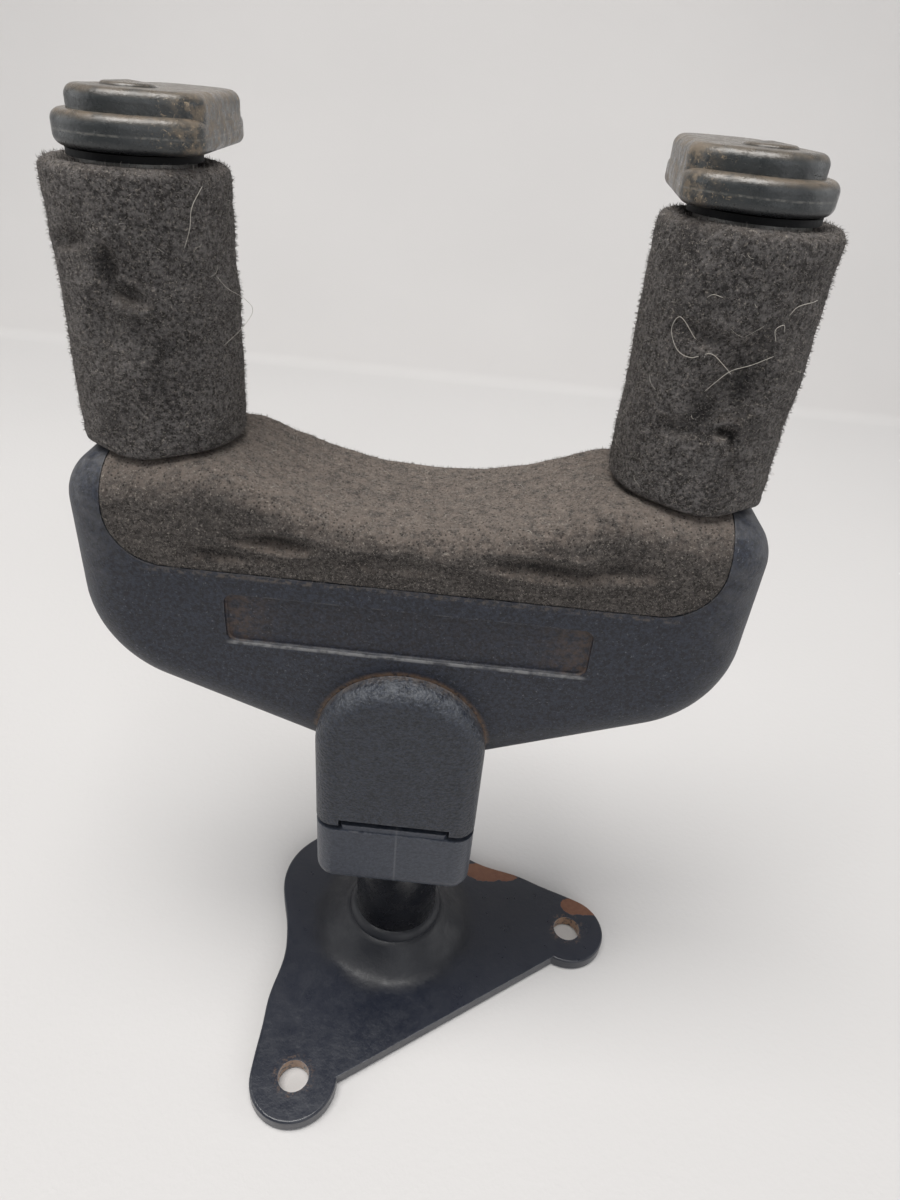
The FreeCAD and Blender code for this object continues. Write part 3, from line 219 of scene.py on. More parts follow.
def mat_yoke():
    m = Mat("yoke_plastic")
    base = m.mix(m.mr(m.noise(1.7, 3, 0.7, off=13), 0.36, 0.64), srgb(10, 13, 23), srgb(36, 41, 54))
    ax = m.math("ABSOLUTE", m.x)
    # grey dust and painted sheen on the shoulders and on the faces that look out along the arm, towards the key lamp
    up = m.mr(m.math("MULTIPLY", m.ny, -1.0), 0.05, 0.9)
    shoulder = m.math("MULTIPLY", m.mr(ax, 43.0, 56.0), m.mr(m.y, -88.0, -118.0))
    dust_and_painted_light = m.math("MULTIPLY", m.math("MAXIMUM", up, shoulder), m.mr(m.noise(0.35, 6, 0.7), 0.34, 0.72))
    c = m.mix(m.math("MULTIPLY", dust_and_painted_light, 0.62), base, srgb(100, 100, 102))
    # speckle of pale dust everywhere
    spk = m.mr(m.noise(1.9, 4, 0.75, off=9), 0.60, 0.70)
    c = m.mix(m.math("MULTIPLY", spk, m.mr(m.noise(0.12, 3, off=4), 0.3, 0.7, 0.24, 0.66)), c, srgb(118, 120, 126))
    # brown dust in the panel's floor and ends
    inp = m.math("MULTIPLY", m.mr(ax, 31.2, 30.2), m.math("MULTIPLY", m.mr(m.z, 14.3, 14.8), m.mr(m.z, 15.3, 14.9)))
    inp = m.math("MULTIPLY", inp, m.math("MULTIPLY", m.mr(m.y, -105.4, -104.6), m.mr(m.y, -94.8, -95.6)))
    ends = m.mr(ax, 20.0, 31.0, 0.08, 0.75)
    grime = m.math("MULTIPLY", m.math("MULTIPLY", inp, ends), m.mr(m.noise(0.7, 5, 0.7, off=2), 0.34, 0.66))
    c = m.mix(grime, c, srgb(84, 66, 53))
    # brown dust packed along the foot of the arch cover
    dd = arch_distance(m)
    line = m.math("MULTIPLY", m.mr(dd, 1.1, 0.1), m.mr(m.z, 15.0, 15.35))
    line = m.math("MULTIPLY", line, m.mr(dd, -1.2, -0.3))
    line = m.math("MULTIPLY", line, m.mr(m.noise(0.9, 5, 0.7, off=11), 0.32, 0.56))
    c = m.mix(m.math("MULTIPLY", line, 0.85), c, srgb(104, 84, 68))
    # dust along the pad's seam
    seam = m.math("MULTIPLY", m.mr(m.math("ABSOLUTE", m.math("ADD", m.y, 108.4)), 0.7, 0.1), m.mr(ax, 45.0, 40.0))
    seam = m.math("MULTIPLY", seam, m.mr(m.noise(0.8, 4, 0.7, off=8), 0.45, 0.62))
    c = m.mix(m.math("MULTIPLY", seam, 0.5), c, srgb(104, 94, 84))
    e = m.math("MULTIPLY", bevel_edge(m, 0.5), m.mr(m.noise(0.6, 5, 0.7, off=3), 0.42, 0.62))
    c = m.mix(m.math("MULTIPLY", e, 0.4), c, srgb(120, 118, 116))
    # a painted highlight: a bright line on the panel's far lip
    lip = m.math("MULTIPLY", m.mr(m.math("ABSOLUTE", m.math("ADD", m.y, 95.2)), 0.5, 0.1), m.mr(ax, 31.0, 29.0))
    lip = m.math("MULTIPLY", lip, m.mr(m.z, 14.9, 15.4))
    c = m.mix(m.math("MULTIPLY", lip, m.mr(m.noise(0.5, 4, off=6), 0.35, 0.6, 0.1, 0.6)), c, srgb(150, 150, 150))
    r = m.mixf(m.noise(0.25, 5, 0.7, off=1), 0.40, 0.56)
    r = m.math("ADD", r, m.math("MULTIPLY", dust_and_painted_light, 0.2), clamp=True)
    scr = m.mr(m.noise(1.2, 4, 0.75, stretch=(0.12, 1.4, 1.4), off=7), 0.63, 0.69)
    h = m.math("ADD", m.noise(3.0, 2, 0.6), m.math("MULTIPLY", scr, 0.35))
    n = m.bump(h, 0.06)
    n = m.bump(m.noise(1.5, 3, 0.7, off=14), 0.10, 0.8, n)
    n = m.bump(m.noise(0.12, 2, off=5), 0.35, 0.35, n)
    m.set(color=c, rough=r, normal=n, spec=0.5)
    return m.m


def mat_cover(name, a, b, rim, rough, grain, mould):
    m = Mat(name)
    base = m.mix(m.mr(m.noise(1.6, 3, 0.7, off=13), 0.36, 0.64), a, b)
    # painted highlight with some dust: bluish grey on the faces that look out along the arm, strongest on the crown
    up = m.mr(m.math("MULTIPLY", m.ny, -1.0), 0.1, 0.8)
    dust_and_painted_light = m.math("MULTIPLY", up, m.mr(m.noise(0.5, 6, 0.7), 0.34, 0.68))
    # dusty foot of the arch
    foot = m.math("MULTIPLY", m.mr(m.z, 18.0, 15.8), m.mr(arch_distance(m), -2.0, -0.4))
    foot = m.math("MULTIPLY", foot, m.mr(m.noise(0.8, 5, 0.7, off=2), 0.36, 0.62))
    c = m.mix(m.math("MULTIPLY", dust_and_painted_light, rim), base, srgb(104, 107, 112))
    c = m.mix(m.math("MULTIPLY", foot, rim), c, srgb(106, 94, 84))
    dust_and_painted_light = m.math("MAXIMUM", dust_and_painted_light, m.math("MULTIPLY", foot, 1.6), clamp=True)
    spk = m.mr(m.noise(3.4, 3, 0.7, off=9), 0.68, 0.77)
    c = m.mix(m.math("MULTIPLY", spk, 0.28), c, srgb(128, 122, 116))
    e = m.math("MULTIPLY", bevel_edge(m, 0.5), m.mr(m.noise(0.7, 5, 0.7, off=3), 0.40, 0.62))
    c = m.mix(m.math("MULTIPLY", e, 0.45), c, srgb(118, 118, 120))
    if mould:
        # faint vertical moulding line
        ml = m.math("MULTIPLY", m.mr(m.math("ABSOLUTE", m.math("ADD", m.x, 0.6)), 0.28, 0.08), m.mr(m.z, 12.0, 14.0))
        c = m.mix(m.math("MULTIPLY", ml, 0.35), c, srgb(104, 106, 110))
    r = m.math("ADD", m.mixf(m.noise(0.3, 5, 0.7, off=1), rough - 0.07, rough + 0.09), m.math("MULTIPLY", dust_and_painted_light, 0.2), clamp=True)
    h = m.math("ADD", m.noise(2.2, 3, 0.65), m.math("MULTIPLY", m.voronoi(1.7), 0.8))
    n = m.bump(h, grain)
    n = m.bump(m.noise(0.2, 2, off=5), 0.25, 0.3, n)
    m.set(color=c, rough=r, normal=n, spec=0.5)
    return m.m


def mat_gate():
    m = Mat("gate_plastic")
    base = m.mix(m.noise(0.22, 4, 0.6), srgb(34, 38, 41), srgb(54, 57, 57))
    base = m.mix(m.mr(m.noise(0.5, 5, 0.7, off=4), 0.5, 0.75, 0, 0.55), base, srgb(24, 27, 31))
    ax = m.math("ABSOLUTE", m.x)
    # mask for the painted shade on the gate's underside
    under_shade = m.mr(m.y, -167.6, -166.9)
    # beige and brown rub marks on the flank that meets the strings, and on the step
    inner = m.mr(ax, 36.0, 32.0)
    rub = m.math("MULTIPLY", inner, m.mr(m.noise(0.55, 6, 0.75, off=2), 0.42, 0.62))
    c = m.mix(m.math("MULTIPLY", rub, 0.75), base, srgb(124, 110, 92))
    sc = m.math("MULTIPLY", m.mr(m.noise(1.6, 5, 0.8, dist=0.8, off=8), 0.57, 0.66), m.mr(ax, 39.0, 33.0))
    c = m.mix(m.math("MULTIPLY", sc, 0.8), c, srgb(178, 158, 130))
    flat = m.math("MULTIPLY", m.mr(m.math("MULTIPLY", m.ny, -1.0), 0.6, 0.9), m.mr(m.y, -171.6, -171.1))
    step = m.math("MULTIPLY", flat, m.mr(m.noise(0.6, 4, off=1), 0.36, 0.6))
    c = m.mix(m.math("MULTIPLY", step, 0.6), c, srgb(122, 106, 88))
    haze = m.math("MULTIPLY", m.mr(m.math("MULTIPLY", m.ny, -1.0), 0.25, 0.8), m.mr(m.noise(0.45, 4, 0.6, off=15), 0.3, 0.6, 0.25, 0.7))
    c = m.mix(haze, c, srgb(104, 94, 82))
    line = m.mr(m.math("ABSOLUTE", m.math("ADD", m.y, 168.7)), 0.2, 0.05)
    c = m.mix(m.math("MULTIPLY", line, m.mr(m.noise(1.2, 3, off=6), 0.4, 0.62, 0.1, 0.4)), c, srgb(132, 130, 124))
    e = m.math("MULTIPLY", bevel_edge(m, 0.6, 0.01, 0.12), m.mr(m.noise(0.8, 5, 0.7, off=3), 0.42, 0.64))
    c = m.mix(m.math("MULTIPLY", e, 0.3), c, srgb(128, 122, 112))
    spk = m.mr(m.noise(4.0, 3, 0.7, off=9), 0.66, 0.74)
    c = m.mix(m.math("MULTIPLY", spk, 0.3), c, srgb(140, 136, 128))
    # painted shade: the gate's underside by the hub is darkened
    c = m.mix(m.math("MULTIPLY", under_shade, 0.8), c, srgb(22, 23, 26))
    r = m.mixf(m.mr(m.noise(0.4, 5, 0.7, off=5), 0.35, 0.65), 0.22, 0.42)
    r = m.math("ADD", r, m.math("MULTIPLY", rub, 0.25), clamp=True)
    scr = m.mr(m.noise(1.5, 5, 0.8, stretch=(0.3, 2.0, 1.0), off=7), 0.6, 0.68)
    n = m.bump(m.math("ADD", m.noise(1.1, 5, 0.7), m.math("MULTIPLY", scr, 0.4)), 0.10)
    n = m.bump(m.noise(0.25, 2, off=5), 0.4, 0.4, n)
    m.set(color=c, rough=r, normal=n, spec=0.5, coat=0.12, coat_rough=0.22)
    return m.m


def mat_plate():
    m = Mat("plate_paint")
    base = m.mix(m.noise(0.05, 3), srgb(22, 26, 36), srgb(33, 37, 49))
    spk = m.mr(m.noise(2.6, 3, 0.7, off=9), 0.67, 0.76)
    c = m.mix(m.math("MULTIPLY", spk, 0.22), base, srgb(120, 118, 114))
    # bare, rusted edge by the side ear
    rust_zone = m.math("ADD", m.blob((-23.0, -2.0, -16.2), (9.5, 3.5, 3.6), 0.4), m.blob((-47.5, -2.0, -8.6), (7.5, 3.5, 3.4), 0.4), clamp=True)
    rz = m.math("MULTIPLY", rust_zone, 1.0)
    chip = m.mr(m.math("ADD", m.noise(0.26, 4, 0.55, off=12), m.math("MULTIPLY", rz, 0.42)), 0.66, 0.74)
    rust = m.mix(m.noise(0.8, 5, 0.7, off=3), srgb(86, 52, 38), srgb(128, 88, 66))
    chip = m.math("MULTIPLY", chip, m.mr(rz, 0.02, 0.12))
    c = m.mix(chip, c, rust)
    # the holes' bare walls
    for hx, hz in ((16.15, 39.86), (-42.97, -1.75), (13.58, -19.30)):
        w = m.math("MULTIPLY", m.blob((hx, -1.2, hz), (3.75, 30, 3.75), 0.12), m.mr(m.noise(0.9, 4, off=hx), 0.33, 0.5))
        inside = m.mr(m.math("ABSOLUTE", m.ny), 0.9, 0.6)
        c = m.mix(m.math("MULTIPLY", w, inside), c, srgb(150, 118, 92))
        ring = m.math("MULTIPLY", m.blob((hx, -1.2, hz), (4.9, 30, 4.9), 0.22), m.mr(m.noise(1.3, 4, 0.7, off=hx + 4), 0.52, 0.62))
        c = m.mix(m.math("MULTIPLY", ring, 0.35), c, srgb(120, 96, 78))
    # painted highlight along the plate's edges, broken up by noise
    e = m.math("MULTIPLY", bevel_edge(m, 0.45), m.mr(m.noise(0.5, 5, 0.7, off=3), 0.36, 0.6))
    c = m.mix(m.math("MULTIPLY", e, 0.5), c, srgb(112, 116, 124))
    r = m.mixf(m.mr(m.noise(0.3, 5, 0.7, off=1), 0.3, 0.7), 0.27, 0.42)
    r = m.mixf(chip, r, 0.8)
    h = m.math("SUBTRACT", m.noise(0.9, 3, 0.55), m.math("MULTIPLY", chip, 0.9))
    # painted shade and dark reflection: the boss round the tube is darker than the flat
    boss = m.math("SQRT", m.math("ADD", m.math("MULTIPLY", m.x, m.x), m.math("MULTIPLY", m.z, m.z)))
    boss = m.mr(m.math("ADD", boss, m.math("MULTIPLY", m.noise(0.2, 4, off=6), 4.0)), 23.5, 19.0)
    c = m.mix(m.math("MULTIPLY", boss, 0.6), c, srgb(12, 13, 17))
    r = m.math("ADD", r, m.math("MULTIPLY", boss, 0.16), clamp=True)
    n = m.bump(h, 0.07)
    n = m.bump(m.noise(0.09, 2, off=5), 0.35, 0.4, n)
    m.set(color=c, rough=r, normal=n, spec=0.5, coat=m.mixf(boss, 0.3, 0.05), coat_rough=0.18)
    return m.m


def mat_tube():
    m = Mat("tube_paint")
    c = m.mix(m.noise(0.15, 3), srgb(13, 14, 18), srgb(21, 22, 27))
    spk = m.mr(m.noise(2.4, 3, 0.7, off=9), 0.68, 0.76)
    c = m.mix(m.math("MULTIPLY", spk, 0.18), c, srgb(120, 116, 110))
    r = m.mixf(m.mr(m.noise(0.3, 5, 0.7, off=1), 0.35, 0.7), 0.16, 0.34)
    scr = m.mr(m.noise(1.0, 4, 0.75, stretch=(1.2, 0.1, 1.2), off=7), 0.6, 0.68)
    n = m.bump(m.math("SUBTRACT", m.noise(0.5, 3, 0.5), m.math("MULTIPLY", scr, 0.2)), 0.05)
    m.set(color=c, rough=r, normal=n, spec=0.5, coat=0.4, coat_rough=0.12)
    return m.m


def mat_steel(name="zinc_steel", a=(150, 150, 152), b=(176, 174, 168)):
    m = Mat(name)
    c = m.mix(m.noise(0.4, 4, 0.6), srgb(*a), srgb(*b))
    c = m.mix(m.mr(m.noise(0.8, 5, 0.7, off=4), 0.55, 0.7, 0, 0.5), c, srgb(104, 96, 84))
    r = m.mixf(m.noise(0.9, 5, 0.7, off=1), 0.26, 0.48)
    n = m.bump(m.noise(2.2, 4, 0.6, stretch=(1, 0.15, 1)), 0.03)
    m.set(color=c, rough=r, metal=1.0, normal=n)
    return m.m


def mat_core():
    m = Mat("core_metal")
    c = m.mix(m.noise(0.3, 4, 0.6), srgb(128, 130, 134), srgb(156, 157, 160))
    r = m.mixf(m.noise(0.7, 5, 0.7, off=1), 0.42, 0.62)
    n = m.bump(m.noise(1.6, 5, 0.7), 0.09)
    m.set(color=c, rough=r, metal=1.0, normal=n)
    return m.m


def mat_nylon():
    m = Mat("bush_nylon")
    # near-black bush colour: the nylon's own black, darkened further as painted shade for the hubs under the gates
    c = m.mix(m.noise(0.5, 3), srgb(7, 8, 10), srgb(14, 15, 18))
    spk = m.mr(m.noise(3.0, 3, 0.7, off=9), 0.6, 0.74)
    c = m.mix(m.math("MULTIPLY", spk, 0.1), c, srgb(96, 88, 78))
    r = m.mixf(m.noise(0.6, 4, off=1), 0.5, 0.7)
    n = m.bump(m.noise(1.6, 3, 0.6), 0.05)
    m.set(color=c, rough=r, normal=n, spec=0.25)
    return m.m


def mat_foam(name, dark, light, dust_and_painted_light, dust_and_painted_light_amount, flap_face_shade, dents):
    m = Mat(name)
    fine = m.noise(1.5, 5, 0.8)
    mid = m.noise(0.55, 5, 0.7, off=5)
    cell = m.voronoi(1.5)
    mixn = m.math("ADD", m.math("MULTIPLY", fine, 0.72), m.math("MULTIPLY", mid, 0.28))
    c = m.mix(m.mr(mixn, 0.42, 0.60), dark, light)
    # soot-dark and worn patches
    patch = m.noise(0.13, 5, 0.62, off=3)
    c = m.mix(m.mr(patch, 0.52, 0.70, 0, 0.6), c, srgb(30, 30, 33))
    # brown dust and painted light, strongest on the faces that look out along the arm, towards the key lamp
    up = m.mr(m.math("MULTIPLY", m.ny, -1.0), 0.0, 0.8, 0.10, 1.0)
    d = m.math("MULTIPLY", up, m.mr(m.noise(0.6, 6, 0.75, off=1), 0.30, 0.62))
    c = m.mix(m.math("MULTIPLY", d, dust_and_painted_light_amount), c, dust_and_painted_light)
    # painted shade: darker flap faces, turned sideways to the key lamp
    c = m.mix(m.math("MULTIPLY", m.mr(m.math("ABSOLUTE", m.nz), 0.55, 0.95), flap_face_shade), c, srgb(40, 39, 41))
    # pale fibre ends and grit
    grit = m.mr(m.noise(2.3, 4, 0.8, off=6), 0.56, 0.66)
    c = m.mix(m.math("MULTIPLY", grit, 0.7), c, srgb(168, 160, 150))
    # painted shade in the foam's pores
    pits = m.mr(cell, 0.34, 0.10)
    c = m.mix(m.math("MULTIPLY", pits, 0.8), c, srgb(14, 14, 16))
    # painted shade in the dents
    for centre, radii, amount in dents:
        q = m.math("MULTIPLY", m.blob(centre, radii, 0.9), m.mr(m.noise(0.7, 4, 0.7, off=centre[1]), 0.3, 0.55, 0.45, 1.0))
        c = m.mix(m.math("MULTIPLY", q, amount), c, srgb(15, 16, 19))
    r = m.mixf(fine, 0.86, 1.0)
    h = m.math("ADD", m.math("MULTIPLY", fine, 1.4), m.math("MULTIPLY", cell, 0.6))
    h = m.math("ADD", h, m.math("MULTIPLY", m.noise(4.0, 2, 0.7, off=2), 0.4))
    n = m.bump(h, 0.42)
    m.set(color=c, rough=r, normal=n, spec=0.15, sheen=0.25, sheen_rough=0.5, sheen_tint=srgb(180, 172, 164))
    return m.m


def on_skin(sign, ang, h, r=12.0):
    return (42.5 * sign + r * math.cos(math.radians(ang)), -126.0 - h, r * math.sin(math.radians(ang)))


# painted shade in the foam's dents: centre, radii, amount
SLEEVE_DENT_SHADE = [
    (on_skin(1, 95, 24.5), (3.4, 1.5, 3.0), 0.95), (on_skin(1, 84, 27.5), (1.6, 3.4, 2.5), 0.7), (on_skin(1, 99, 20.5), (3.0, 3.8, 3.0), 0.5),
    (on_skin(1, 110, 12.0), (2.2, 4.5, 3.0), 0.6), (on_skin(1, 116, 16.5), (2.4, 3.0, 3.0), 0.5), (on_skin(1, 60, 30.0), (4.0, 1.4, 3.0), 0.35),
    (on_skin(-1, 96, 20.0), (4.6, 5.0, 3.4), 0.85), (on_skin(-1, 76, 16.0), (3.4, 5.0, 3.4), 0.8), (on_skin(-1, 92, 13.0), (2.0, 0.9, 2.6), 0.95),
    (on_skin(-1, 98, 12.2), (1.0, 1.5, 2.4), 0.9), (on_skin(-1, 62, 12.5), (3.2, 1.2, 3.0), 0.5), (on_skin(-1, 68, 25.5), (3.6, 1.3, 3.0), 0.5)]
SADDLE_DENT_SHADE = [((21.5, -115.0, 15.0), (5.4, 1.2, 3.0), 0.8), ((-21.5, -115.2, 15.0), (8.5, 1.3, 3.0), 0.75), ((31.0, -112.2, 15.0), (6.0, 1.0, 3.0), 0.45),
                ((-33.0, -116.5, 15.0), (4.4, 1.2, 3.0), 0.5)]


def mat_fuzz():
    m = Mat("foam_fuzz")
    c = m.mix(m.mr(m.noise(1.3, 3, 0.7), 0.35, 0.65), srgb(56, 54, 54), srgb(140, 134, 128))
    up = m.mr(m.math("MULTIPLY", m.y, -1.0), 118, 165, 0.3, 0.0)
    c = m.mix(up, c, srgb(118, 108, 100))
    m.set(color=c, rough=0.9, spec=0.1, sheen=0.2, normal=m.bump(m.noise(9, 2), 0.01))
    return m.m


def mat_lint():
    m = Mat("lint")
    c = m.mix(m.noise(1.5, 2), srgb(150, 144, 134), srgb(186, 181, 172))
    m.set(color=c, rough=0.6, sheen=0.3, normal=m.bump(m.noise(8, 2), 0.01))
    return m.m


YOKE = mat_yoke()
COVER = mat_cover("cover_plastic", srgb(22, 26, 34), srgb(46, 51, 62), 0.5, 0.36, 0.24, False)
COLLAR = mat_cover("collar_plastic", srgb(38, 43, 54), srgb(54, 59, 70), 0.2, 0.34, 0.05, True)
GATE = mat_gate()
PLATE = mat_plate()
TUBE = mat_tube()
STEEL = mat_steel()
CORE = mat_core()
NYLON = mat_nylon()
SLEEVE = mat_foam("foam_sleeve", srgb(44, 43, 44), srgb(112, 109, 108), srgb(112, 104, 98), 0.45, 0.0, SLEEVE_DENT_SHADE)
SADDLE = mat_foam("foam_saddle", srgb(44, 42, 42), srgb(106, 101, 97), srgb(128, 117, 109), 0.8, 0.22, SADDLE_DENT_SHADE)
LINT = mat_lint()

by_slot = {"plate_paint": PLATE, "tube_paint": TUBE, "zinc_steel": STEEL, "core_metal": CORE, "yoke_plastic": YOKE, "cover_plastic": COVER,
           "collar_plastic": COLLAR, "gate_plastic": GATE, "bush_nylon": NYLON, "foam": SLEEVE}
for s in frame["record"]["subparts"]:
    o = N[s["node"]]
    o.data.materials.clear()
    o.data.materials.append(by_slot[s["material_slot"]])


# ------------------------------------------------------------------ mesh tools
def fbm(v, scale, octaves=3, seed=0.0):
    p = Vector((v[0] * scale + seed, v[1] * scale - seed * 1.3, v[2] * scale + seed * 0.7))
    s, a = 0.0, 1.0
    for _ in range(octaves):
        s += a * noise.noise(p)
        p = p * 2.03
        a *= 0.5
    return s


def grid_mesh(name, rings, closed_u=True, cap=False, closed_v=False):
    """rings: array (n, m, 3) in mm; every ring is a loop of m points."""
    n, m = rings.shape[:2]
    verts = (rings.reshape(-1, 3) * MM).tolist()
    faces = []
    for i in range(n if closed_v else n - 1):
        j = (i + 1) % n
        for k in range(m if closed_u else m - 1):
            l = (k + 1) % m
            faces.append((i * m + k, i * m + l, j * m + l, j * m + k))
    if cap:
        faces.append(tuple(range(m))[::-1])
        faces.append(tuple((n - 1) * m + k for k in range(m)))
    me = bpy.data.meshes.new(name)
    me.from_pydata(verts, [], faces)
    me.update()
    o = bpy.data.objects.new(name, me)
    bpy.context.scene.collection.objects.link(o)
    bm = bmesh.new()
    bm.from_mesh(me)
    bmesh.ops.recalc_face_normals(bm, faces=bm.faces)
    bm.to_mesh(me)
    bm.free()
    me.polygons.foreach_set("use_smooth", [True] * len(me.polygons))
    return o


def resample(pts, step):
    pts = np.array(pts, float)
    d = np.r_[0, np.cumsum(np.linalg.norm(np.diff(pts, axis=0), axis=1))]
    n = max(2, int(round(d[-1] / step)) + 1)
    t = np.linspace(0, d[-1], n)
    return np.c_[np.interp(t, d, pts[:, 0]), np.interp(t, d, pts[:, 1])]


# ------------------------------------------------------------------ foam sleeves
def ridge_at(x):
    # rounding of the pad's long ridges: tight over the saddle, fuller under the sleeves
    return 4.6 + 2.9 * min(1.0, max(0.0, (abs(x) - 30.0) / 14.0))


def shoulder_drop(x, z):
    # how far the yoke's rounded shoulder lies below its top at (x, z)
    k = ridge_at(x)
    u = max(0.0, abs(x) - 48.1) * k / 8.3
    v = max(0.0, abs(z) - (15.5 - k))
    return min(3.4, (k - math.sqrt(max(0.0, k * k - u * u - v * v)))) * 0.85


def sleeve(tag, sign, dents):
    """A foam tube round the prong. Its profile runs up the outside, over the soft rim and down to the bush."""
    X = 42.5 * sign
    y0, y1, R = -126.0, -165.4, 12.45
    prof = []
    # foot, rolled under where it sits on the pad
    for a in np.linspace(0, 90, 8):
        prof.append((R - 1.5 + 1.5 * math.sin(math.radians(a)), y0 - 1.5 + 1.5 * math.cos(math.radians(a)) - 0.02))
    prof.append((R + 0.10, (y0 + y1) / 2))
    rr = 1.6
    for a in np.linspace(0, 80, 12):
        prof.append((R - rr + rr * math.cos(math.radians(a)), y1 + rr + 0.1 - rr * math.sin(math.radians(a))))
    prof += [(9.6, y1 + 0.25), (8.9, y1 + 0.55), (8.4, y1 + 1.6)]
    outer = resample(prof, 0.42)
    inner = [(8.15, y1 + 4), (8.15, -140), (8.15, y0 - 0.3)]
    inner = resample(inner, 4.0)
    bottom = resample([(8.6, y0 - 0.05), (R - 1.5, y0 - 0.02)], 1.2)[:-1]
    prof = np.r_[outer, inner, bottom]
    nu = 190
    th = np.linspace(0, 2 * math.pi, nu, endpoint=False)
    rings = np.zeros((len(prof), nu, 3))
    n_out = len(outer)
    n_in = len(outer) + len(inner)
    for i, (r, y) in enumerate(prof):
        for k, a in enumerate(th):
            dx, dz = math.cos(a), math.sin(a)
            p = Vector((X + r * dx, y, r * dz))
            d = 0.0
            dy = 0.0
            # the foot follows the rounded shoulder it sits on
            sink = shoulder_drop(X + r * dx, r * dz) * max(0.0, 1.0 + (y - y0) / 7.0) if (i < n_out or i >= n_in) else 0.0
            if i < n_out and i > 1:
                hgt = -(y - y0)
                edge = min(1.0, hgt / 2.5)
                d = 0.42 * fbm(p, 0.085, 2, 3.1 * sign) + 0.17 * fbm(p, 0.45, 3, 7.7) + 0.13 * fbm(p, 1.9, 2, 1.2)
                for (ang, h0, wa, wh, depth, tilt) in dents:
                    da = (math.degrees(a) - ang + 180) % 360 - 180
                    u = da / wa
                    v = (hgt - h0 - tilt * da) / wh
                    q = u * u + v * v
                    if q < 6:
                        d -= 1.35 * depth * math.exp(-q)
                        # raised lip round a dent
                        d += depth * 0.28 * math.exp(-((math.sqrt(q) - 1.55) / 0.45) ** 2)
                if r > 9.7:
                    d *= edge
                else:
                    d *= 0.35
                dy = 0.10 * fbm(p, 0.9, 2, 5.0) if r < 11.5 and hgt > 30 else 0.0
            rings[i, k] = (X + (r + d) * dx, y + dy + sink, (r + d) * dz)
    o = grid_mesh("sleeve_foam_" + tag, rings, closed_v=True)
    o.data.materials.append(SLEEVE)
    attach(o, "yoke")
    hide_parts("foam_sleeve_" + tag)
    return o


# ang: 90 = top face (+Z), 0 = +X. (angle, height, width deg, width mm, depth mm, tilt mm/deg)
sleeve_right = sleeve("right", 1, [
    (97, 23.6, 13, 1.1, 1.15, -0.03), (86, 27.0, 5, 3.0, 1.0, 0.0), (94, 26.5, 14, 3.2, 0.75, 0), (80, 19.5, 13, 4.5, 0.85, 0.05), (112, 17.0, 16, 4.0, 0.4, 0),
    (60, 30, 18, 1.2, 0.5, 0.03), (128, 12, 18, 6, 0.45, 0), (104, 8, 20, 4, 0.3, 0.05)])
sleeve_left = sleeve("left", -1, [
    (94, 21.0, 17, 5.0, 1.25, -0.03), (80, 17.0, 13, 5.0, 1.0, 0.05), (92, 13.0, 5.5, 0.9, 1.25, 0.02), (98, 12.2, 3.0, 1.6, 0.8, 0.0), (68, 25.5, 18, 1.4, 0.65, -0.04),
    (60, 12.5, 14, 1.4, 0.55, 0.03), (112, 27, 16, 3.0, 0.4, 0), (104, 8.3, 7, 1.4, 0.5, 0)])


